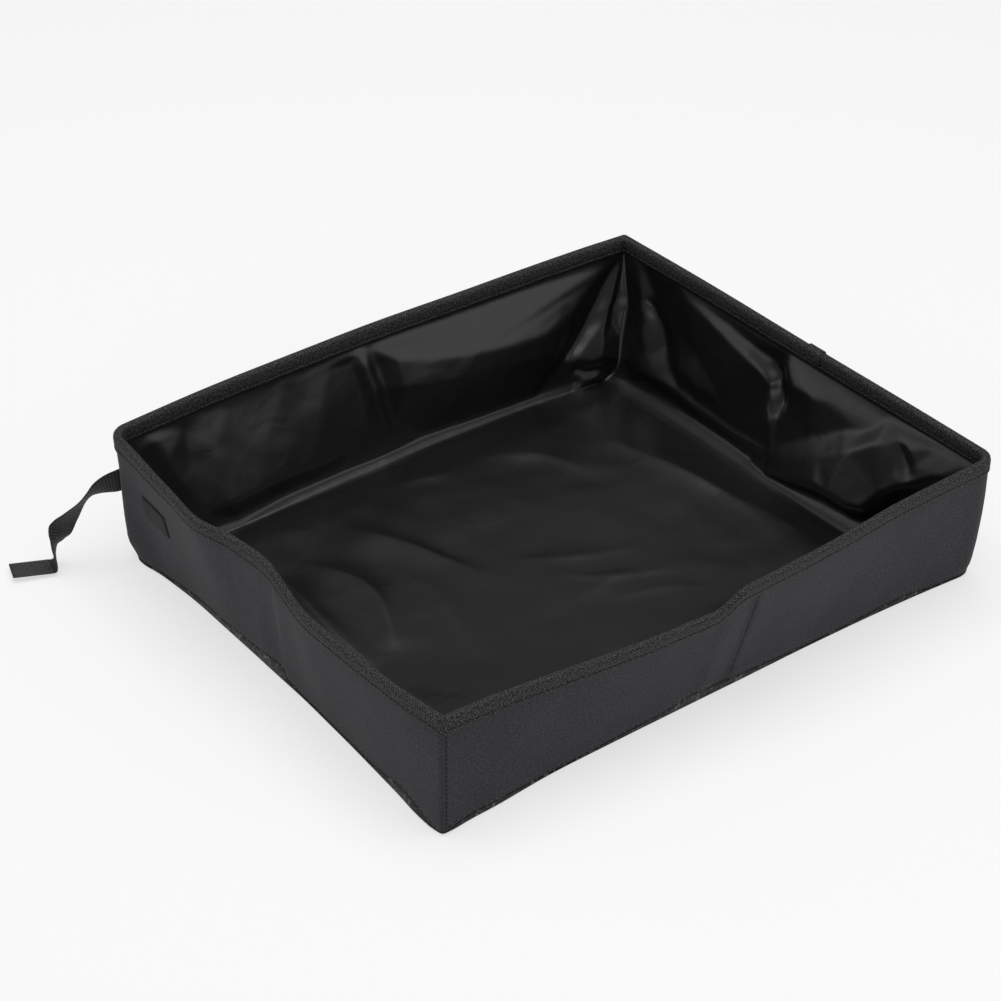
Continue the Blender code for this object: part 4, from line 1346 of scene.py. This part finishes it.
def depth_grid(wall, length):
    """The liner's depth on a 1 mm grid of runs and heights, its creases rounded."""
    runs = np.arange(0, round(length) + 1, dtype=float)
    heights = np.arange(0, 101, dtype=float)
    grid = np.full((len(runs), len(heights)), np.nan)
    for a, b, c in crease_facets(wall, length):
        low = [max(int(math.floor(min(p[k] for p in (a, b, c)))), 0) for k in (0, 1)]
        high = [int(math.ceil(max(p[k] for p in (a, b, c)))) + 1 for k in (0, 1)]
        u, v = np.meshgrid(runs[low[0]:high[0]], heights[low[1]:high[1]], indexing="ij")
        area = (b[0] - a[0]) * (c[1] - a[1]) - (c[0] - a[0]) * (b[1] - a[1])
        if abs(area) < 0.001:
            continue
        share_b = ((u - a[0]) * (c[1] - a[1]) - (c[0] - a[0]) * (v - a[1])) / area
        share_c = ((b[0] - a[0]) * (v - a[1]) - (u - a[0]) * (b[1] - a[1])) / area
        inside = (share_b >= -0.001) & (share_c >= -0.001) & (share_b + share_c <= 1.001)
        depth = a[2] + share_b * (b[2] - a[2]) + share_c * (c[2] - a[2])
        patch = grid[low[0]:high[0], low[1]:high[1]]
        patch[inside] = depth[inside]
    for column in grid:
        known = ~np.isnan(column)
        column[~known] = np.interp(heights[~known], heights[known], column[known])
    reach = 4
    weights = np.exp(-((np.arange(-reach, reach + 1) / CREASE_ROUND) ** 2) / 2)
    weights /= weights.sum()
    soft = grid
    for axis in (0, 1):
        pad = [(reach, reach) if axis == k else (0, 0) for k in (0, 1)]
        wide = np.pad(soft, pad, mode="reflect", reflect_type="odd")
        span = soft.shape[axis]
        shifted = (np.take(wide, range(k, k + span), axis=axis) for k in range(len(weights)))
        soft = sum(weight * layer for weight, layer in zip(weights, shifted))
    return soft


def liner_depth(grid, run, height):
    """The liner's depth at a run and a height, in mm."""
    if height >= TAPE_EDGE:
        return TAPE_DEPTH - 0.3 * (height - TAPE_EDGE) / 10
    columns, rows = grid.shape
    run, height = min(max(run, 0.0), columns - 1.001), min(max(height, 0.0), rows - 1.001)
    i, k = int(run), int(height)
    s, t = run - i, height - k
    low = grid[i, k] * (1 - s) + grid[i + 1, k] * s
    high = grid[i, k + 1] * (1 - s) + grid[i + 1, k + 1] * s
    return low * (1 - t) + high * t


def liner_floor_edge(outline):
    """The corners of the rectangle that the liner's floor fills, before the walls' stance."""
    half_x, half_y = outline.sizes.tray_length / 2, outline.sizes.tray_width / 2
    return (
        -half_x + LINER_REACH[LEFT] * MM,
        half_x - LINER_REACH[RIGHT] * MM,
        -half_y + LINER_REACH[FRONT] * MM,
        half_y - LINER_REACH[BACK] * MM,
    )


def floor_point(outline, x, y, lift):
    """A point of the liner's floor, with its wrinkles and the stance of the nearest wall."""
    low_x, high_x, low_y, high_y = liner_floor_edge(outline)
    edge = min(x - low_x, high_x - x, y - low_y, high_y - y)
    calm = smooth_step(edge / 0.040)
    rumple = 0.0014 * (1 + soft_noise(x, y, 0.075, 2.0)) + 0.0007 * (1 + soft_noise(x, y, 0.030, 6.0))
    height = FLOOR_HEIGHT * MM + (lift + rumple) * calm
    shift = Vector((0.0, 0.0))
    weight = 0.0
    half_x, half_y = outline.sizes.tray_length / 2, outline.sizes.tray_width / 2
    for wall, gap, run in (
        (FRONT, y + half_y, x + half_x),
        (RIGHT, half_x - x, y + half_y),
        (BACK, half_y - y, half_x - x),
        (LEFT, x + half_x, half_y - y),
    ):
        part = math.exp(-gap / 0.02)
        push, _drop = outline.stance(outline.starts[wall] + run, 0.0)
        shift += push * part
        weight += part
    if weight > 0:
        near = min(y + half_y, half_x - x, half_y - y, x + half_x)
        shift = shift / weight * (1 - smooth_step((near - 0.024) / 0.10))
    return Vector((x + shift.x, y + shift.y, height))


def liner_wall_point(outline, wall, run, turn, row, grids):
    """A point of the wall part of the liner."""
    sizes = outline.sizes
    height = LINER_HEIGHTS[row]
    following = (wall + 1) % 4
    before = liner_depth(grids[wall - 1], outline.lengths[wall - 1] / MM, height)
    after = liner_depth(grids[following], 0.0, height)
    depth = liner_depth(grids[wall], run / MM, height)
    if turn is None:
        free = smooth_step((96 - height) / 12) * smooth_step((height - 4) / 14)
        depth += 0.5 * soft_noise(run, height * MM, 0.045, wall + 0.5) * free
        depth += 0.15 * soft_noise(run, height * MM, 0.014, wall + 4.5) * free
    station = Station(wall, run, turn)
    height *= MM
    rim = outline.rim(station)
    height = height * (1 - (sizes.wall_height - rim) / sizes.wall_height * smooth_step(height / 0.06))
    bulge = math.sin(math.pi * (row / (LINER_ROWS - 1))) ** 1.5
    soft = 0.0003 + (0.010 if outline.radii[wall] > SOFT_RADIUS else 0.004) * bulge
    shift, drop = outline.stance(outline.distance(station), height / sizes.wall_height)
    point = outline.plan(station, depth * MM, before * MM, after * MM, soft) + shift
    return Vector((point.x, point.y, height - drop * smooth_step(height / 0.03)))


def floor_cell(wall, step):
    """The corner of the floor's grid that lies a number of steps along a wall's foot."""
    return (
        (step, 0), (FLOOR_COLUMNS, step), (FLOOR_COLUMNS - step, FLOOR_ROWS), (0, FLOOR_ROWS - step)
    )[wall]


def liner_mesh(outline):
    """The whole liner as one mesh: points, faces, texture places and regions."""
    grids = [depth_grid(wall, outline.lengths[wall] / MM) for wall in range(4)]
    ring = []
    for wall, count in enumerate((FLOOR_COLUMNS, FLOOR_ROWS) * 2):
        ring += [(wall, 0.0, i / LINER_TURNS, 0) for i in range(LINER_TURNS)]
        first = outline.radii[wall]
        last = outline.lengths[wall] - outline.radii[(wall + 1) % 4]
        ring += [(wall, first + (last - first) * i / count, None, i) for i in range(count + 1)]
    points, index = [], {}
    for i, (wall, run, turn, _step) in enumerate(ring):
        for row in range(LINER_ROWS - 1):
            index[i, row] = len(points)
            points.append(liner_wall_point(outline, wall, run, turn, row, grids))
    low_x, high_x, low_y, high_y = liner_floor_edge(outline)
    cells = [(i, k) for i in range(FLOOR_COLUMNS + 1) for k in range(FLOOR_ROWS + 1)]
    places = []
    for i, k in cells:
        x = low_x + (high_x - low_x) * i / FLOOR_COLUMNS
        places.append((x, low_y + (high_y - low_y) * k / FLOOR_ROWS))
    floor_index = {}
    for cell, (x, y), lift in zip(cells, places, fold_heights(np.array(places) / MM)):
        floor_index[cell] = len(points)
        points.append(floor_point(outline, x, y, lift * MM))
    for i, (wall, _run, _turn, step) in enumerate(ring):
        index[i, LINER_ROWS - 1] = floor_index[floor_cell(wall, step)]
    faces, regions = [], []
    for i, (wall, run, turn, _step) in enumerate(ring):
        j = (i + 1) % len(ring)
        if turn is not None:
            region = WALL_HALVES[wall - 1][1] if turn < 0.45 else WALL_HALVES[wall][0]
        else:
            region = WALL_HALVES[wall][run >= outline.lengths[wall] / 2 - 0.001]
        for row in range(LINER_ROWS - 1):
            quad = (index[i, row], index[j, row], index[j, row + 1], index[i, row + 1])
            quad = tuple(dict.fromkeys(quad))
            if len(quad) > 2:
                faces.append(quad)
                regions.append(region)
    for i, k in cells:
        if i < FLOOR_COLUMNS and k < FLOOR_ROWS:
            corners = ((i, k), (i + 1, k), (i + 1, k + 1), (i, k + 1))
            faces.append(tuple(floor_index[corner] for corner in corners))
            regions.append("floor")
    uvs = place_faces(points, faces, lambda p: (p.x + p.z, p.y + p.z))
    return points, faces, uvs, regions


def build_liner(outline):
    """The loose liner, sewn in under the tape, cut into the parts that move apart."""
    for region, piece in split_pieces("loose_liner", *liner_mesh(outline), material_named("liner")).items():
        if region == "floor":
            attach(piece, "front_wall")
            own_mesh(piece)
            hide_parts("liner_floor")
        else:
            fasten(piece, outline, region, f"{region}_liner")


# Closure

STRAP_ROUTE = (
    ((-0.2198, 0.2110, 0.0650), (0.0, 0.0, 1.0)),
    ((-0.2350, 0.2117, 0.0648), (0.0, 0.0, 1.0)),
    ((-0.2466, 0.2126, 0.0640), (-0.08, -0.05, 1.0)),
    ((-0.2550, 0.2152, 0.0629), (-0.25, -0.21, 0.94)),
    ((-0.2624, 0.2174, 0.0606), (-0.45, -0.40, 0.80)),
    ((-0.2690, 0.2185, 0.0568), (-0.50, -0.60, 0.63)),
    ((-0.2756, 0.2190, 0.0513), (-0.57, -0.59, 0.57)),
    ((-0.2832, 0.2209, 0.0435), (-0.81, -0.29, 0.51)),
    ((-0.2879, 0.2239, 0.0372), (-0.93, 0.06, 0.35)),
    ((-0.2913, 0.2262, 0.0307), (-0.90, 0.20, 0.38)),
    ((-0.2948, 0.2261, 0.0251), (-0.81, -0.24, 0.54)),
    ((-0.2978, 0.2249, 0.0195), (-0.62, -0.62, 0.40)),
    ((-0.2990, 0.2239, 0.0125), (-0.50, -0.84, 0.20)),
    ((-0.2993, 0.2231, 0.0070), (-0.42, -0.90, 0.08)),
    ((-0.3003, 0.2229, 0.0037), (-0.38, -0.92, 0.03)),
    ((-0.3016, 0.2233, 0.0026), (-0.37, -0.93, 0.03)),
    ((-0.3030, 0.2238, 0.0026), (-0.37, -0.93, 0.03)),
)
WEBBING_THICKNESS = 0.0014
SEWN_END_HEIGHT = 0.065


def strap_frames(per_span):
    """Middle, direction, width and thickness ways all along the strap."""
    line = smooth_route([(Vector(point), Vector(way).normalized()) for point, way in STRAP_ROUTE], per_span)
    frames = []
    for i, (middle, way) in enumerate(line):
        along = (line[min(i + 1, len(line) - 1)][0] - line[max(i - 1, 0)][0]).normalized()
        thick = way.cross(along).normalized()
        frames.append((middle, along, along.cross(thick), thick))
    return frames


def ribbon(name, frames, width, thickness, key):
    """A flat strip of cloth through frames, with rounded edges, and its length."""
    across = 8
    section = [(-0.5 + i / across, 0.5 if 0 < i < across else 0.2) for i in range(across + 1)]
    section += [(w, -t) for w, t in reversed(section)]
    rows, along, gone = [], [], 0.0
    for i, (middle, _along, side, thick) in enumerate(frames):
        if i:
            gone += (middle - frames[i - 1][0]).length
        along.append(gone)
        rows.append([middle + side * width * w + thick * thickness * t for w, t in section])
    faces, uvs = strip_faces(rows, along, [[w * width for w, _t in section]] * len(rows), closed=True)
    count = len(section)
    for end in (0, len(frames) - 1):
        loop = tuple(range(end * count, end * count + count))
        faces.append(loop if end else loop[::-1])
        uvs.append([(along[end], 0.0)] * count)
    return mesh_piece(name, sum(rows, []), faces, material_named(key), uvs), gone


def build_strap(outline):
    """The free webbing strap, with its hook tab, and its sewn end on the back wall."""
    width = outline.sizes.webbing_width
    frames = strap_frames(8)
    strap, length = ribbon("closure_webbing", frames, width, WEBBING_THICKNESS, "webbing")
    end, along, side, thick = frames[-1]
    tab_frames = [(end + along * (0.0003 + 0.0307 * i / 12), along, side, thick) for i in range(13)]
    tab, _length = ribbon("hook_tape_tab", tab_frames, width, 0.0020, "hook")
    for piece, node, slot in ((strap, "closure_strap", "webbing"), (tab, "hook_tab", "hook_tape")):
        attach(piece, "strap")
        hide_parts(node)
    sewn_frames = []
    for i in range(9):
        station = Station(BACK, 0.446 + 0.024 * i / 8, None)
        middle = outline.place(station, -WEBBING_THICKNESS, SEWN_END_HEIGHT)
        sewn_frames.append((middle, Vector((-1, 0, 0)), Vector((0, 0, 1)), Vector((0, 1, 0))))
    sewn, _length = ribbon("webbing_sewn_end", sewn_frames, width, WEBBING_THICKNESS, "webbing")
    fasten(sewn, outline, "back", "strap_anchor")
    box = box_corners(0.449, 0.467, 0.0575, 0.0725)
    lines = [*zip(box, box[1:] + box[:1]), (box[0], box[2]), (box[1], box[3])]
    seats = stitch_lines(
        outline, BACK, lines, lambda _s, _h: -0.0022, Vector((0, 1, 0)), outline.sizes.thread_width
    )
    fasten(stitch_mesh("webbing_box_stitches", seats), outline, "back")


def build_patch(outline):
    """The loop patch sewn to the left wall, and its stitches."""
    start, stop, low, high = 0.041, 0.075, 0.055, 0.075
    across, up, inset = 14, 8, 0.0015

    def place_at(layer, i, k):
        station = Station(LEFT, start + (stop - start) * i / across, None)
        height = low + (high - low) * k / up
        puff = 0.0003 if layer and 0 < i < across and 0 < k < up else 0.0
        depth = (-0.0001, -0.0010)[layer] - shell_relief(outline, station, height) - puff
        return outline.place(station, depth, height)

    patch = panel_piece("loop_tape_patch", "loop", across, up, place_at, 1, lambda p: p.y)
    fasten(patch, outline, "left_back", "loop_patch")
    box = box_corners(start + inset, stop - inset, low + inset, high - inset)
    seats = stitch_lines(
        outline, LEFT, zip(box, box[1:] + box[:1]), lambda s, h: -0.0011 - shell_relief(outline, s, h),
        Vector((-1, 0, 0)), outline.sizes.thread_width * 0.8,
    )
    fasten(stitch_mesh("loop_patch_stitches", seats), outline, "left_back")


# Studio

FLOOR_HALF = 6.0
FLOOR_DROP = 0.0003
PHOTO_PIXELS = 1001
FOCAL_PIXELS = 3206.7
# Each soft box: name, place, what it points at, size and power.
SOFT_BOXES = (
    ("key_box", (1.5, -2.3, 1.1), (0, 0, 0.05), (2.2, 1.6), 13.0),
    ("back_box", (-1.7, 2.0, 1.3), (0, 0, 0.05), (1.8, 1.2), 6.5),
    ("entry_box", (-1.9, -1.5, 0.7), (-0.1, -0.1, 0.05), (1.2, 0.9), 5.0),
    ("top_box", (0.0, 0.0, 2.6), (0, 0, 0), (2.5, 2.5), 46.0),
)


def area_light(name, place, target, size, power):
    """A soft box, lit plainly and kept out of the picture."""
    light = bpy.data.lights.new(name, "AREA")
    light.shape = "RECTANGLE"
    light.size, light.size_y = size
    light.energy = power
    item = bpy.data.objects.new(name, light)
    item.location = place
    item.rotation_mode = "QUATERNION"
    item.rotation_quaternion = (Vector(target) - Vector(place)).to_track_quat("-Z", "Y")
    item.visible_camera = False
    bpy.context.scene.collection.objects.link(item)


def studio_paper(colour):
    """Matt white paper for the floor."""
    material, tree = start_material("matt_studio_paper", 0.95, colour=tone(colour, 1), specular=0.0)
    # The camera and mirror-like cloth see the paper nearer to white than it is lit, with its shadow.
    path = add_node(tree, "ShaderNodeLightPath").outputs
    seen = calculate(tree, "ADD", path["Is Camera Ray"], path["Is Glossy Ray"])
    seen = calculate(tree, "ADD", seen, path["Is Transmission Ray"], use_clamp=True)
    share = calculate(tree, "MULTIPLY", seen, 0.62)
    white = add_node(tree, "ShaderNodeEmission", {"Color": (1, 1, 1, 1), "Strength": 1.0}).outputs[0]
    paper = tree.nodes["Principled BSDF"].outputs[0]
    mixed = add_node(tree, "ShaderNodeMixShader", {0: share, 1: paper, 2: white}).outputs[0]
    tree.links.new(mixed, tree.nodes["Material Output"].inputs["Surface"])
    return material


def build_stage():
    """The pale floor, the soft light and the camera."""
    scene = bpy.context.scene
    signs = ((-1, -1), (1, -1), (1, 1), (-1, 1))
    corners = [(x * FLOOR_HALF, y * FLOOR_HALF, -FLOOR_DROP) for x, y in signs]
    paper = studio_paper(scene.litter_tray_colours.floor)
    floor = mesh_piece("studio_floor", corners, [(0, 1, 2, 3)], paper, smooth=False)
    world = bpy.data.worlds.new("studio")
    world.use_nodes = True
    tree = world.node_tree
    background = tree.nodes["Background"]
    background.inputs["Color"].default_value = (1.0, 1.0, 1.0, 1)
    # The room is brighter overhead than at its walls.
    sky = add_node(tree, "ShaderNodeTexCoord").outputs["Generated"]
    height = add_node(tree, "ShaderNodeSeparateXYZ", {0: sky}).outputs["Z"]
    links = {"Value": height, "From Min": 0.62, "To Min": 0.225, "To Max": 0.62}
    strength = add_node(tree, "ShaderNodeMapRange", links).outputs["Result"]
    tree.links.new(strength, background.inputs["Strength"])
    scene.world = world
    for box in SOFT_BOXES:
        area_light(*box)
    camera = bpy.data.cameras.new("camera")
    camera.sensor_width = 36.0
    camera.lens = FOCAL_PIXELS / PHOTO_PIXELS * 36.0
    camera.clip_end = 50.0
    view = bpy.data.objects.new("camera", camera)
    view.location = (-1.2555, -1.5903, 1.3788)
    view.rotation_euler = (math.radians(90 - 33.088), 0.0, -math.radians(37.314))
    scene.collection.objects.link(view)
    scene.camera = view
    scene.view_settings.view_transform = "Standard"


# Add-on


def build_all(context, *builders):
    """Run builders on the outline that the user has set."""
    outline = Outline(context.scene.litter_tray_sizes)
    for build in builders:
        build(outline)
    return {"FINISHED"}


class LITTERTRAY_OT_stage(bpy.types.Operator):
    """Make the floor, the lights and the camera"""

    bl_idname = "litter_tray.stage"
    bl_label = "Studio"

    def execute(self, context):
        build_stage()
        return {"FINISHED"}


class LITTERTRAY_OT_closure(bpy.types.Operator):
    """Make the webbing strap with its hook tab, and the loop patch"""

    bl_idname = "litter_tray.closure"
    bl_label = "Closure"

    def execute(self, context):
        return build_all(context, build_strap, build_patch)


class LITTERTRAY_OT_base(bpy.types.Operator):
    """Make the base cloth and its turned-up edge"""

    bl_idname = "litter_tray.base"
    bl_label = "Base cloth"

    def execute(self, context):
        return build_all(context, build_base_edges, build_base)


class LITTERTRAY_OT_walls(bpy.types.Operator):
    """Make the outer cloth of the walls, with its boards and corner seams"""

    bl_idname = "litter_tray.walls"
    bl_label = "Walls"

    def execute(self, context):
        return build_all(context, build_shells, build_boards, build_corner_seams)


class LITTERTRAY_OT_binding(bpy.types.Operator):
    """Make the binding tape over the rim, and where its ends lap"""

    bl_idname = "litter_tray.binding"
    bl_label = "Rim binding"

    def execute(self, context):
        return build_all(context, build_binding, build_tape_join)


class LITTERTRAY_OT_stitches(bpy.types.Operator):
    """Make the rows of stitches"""

    bl_idname = "litter_tray.stitches"
    bl_label = "Stitches"

    def execute(self, context):
        return build_all(context, build_rim_stitches, build_crease_stitches, build_foot_stitches)


class LITTERTRAY_OT_liner(bpy.types.Operator):
    """Make the loose liner"""

    bl_idname = "litter_tray.liner"
    bl_label = "Liner"

    def execute(self, context):
        return build_all(context, build_liner)


OPERATORS = (
    LITTERTRAY_OT_stage,
    LITTERTRAY_OT_closure,
    LITTERTRAY_OT_base,
    LITTERTRAY_OT_walls,
    LITTERTRAY_OT_binding,
    LITTERTRAY_OT_stitches,
    LITTERTRAY_OT_liner,
)


class LITTERTRAY_PT_panel(bpy.types.Panel):
    """Sizes, colours and pieces of the litter tray"""

    bl_idname = "LITTERTRAY_PT_panel"
    bl_label = "Litter Tray"
    bl_space_type = "VIEW_3D"
    bl_region_type = "UI"
    bl_category = "Litter Tray"

    def draw(self, context):
        for group in (context.scene.litter_tray_sizes, context.scene.litter_tray_colours):
            box = self.layout.box()
            for name in group.__annotations__:
                box.prop(group, name)
        for operator in OPERATORS:
            self.layout.operator(operator.bl_idname)


CLASSES = (LitterTraySizes, LitterTrayColours, *OPERATORS, LITTERTRAY_PT_panel)


def register():
    """Add the classes and their settings to Blender."""
    for item in CLASSES:
        bpy.utils.register_class(item)
    bpy.types.Scene.litter_tray_sizes = bpy.props.PointerProperty(type=LitterTraySizes)
    bpy.types.Scene.litter_tray_colours = bpy.props.PointerProperty(type=LitterTrayColours)


def unregister():
    """Take the settings and the classes out again."""
    del bpy.types.Scene.litter_tray_colours
    del bpy.types.Scene.litter_tray_sizes
    for item in reversed(CLASSES):
        bpy.utils.unregister_class(item)


def main():
    """Build the tray piece by piece."""
    register()
    for operator in OPERATORS:
        group, name = operator.bl_idname.split(".")
        getattr(getattr(bpy.ops, group), name)()


if __name__ == "__main__":
    main()
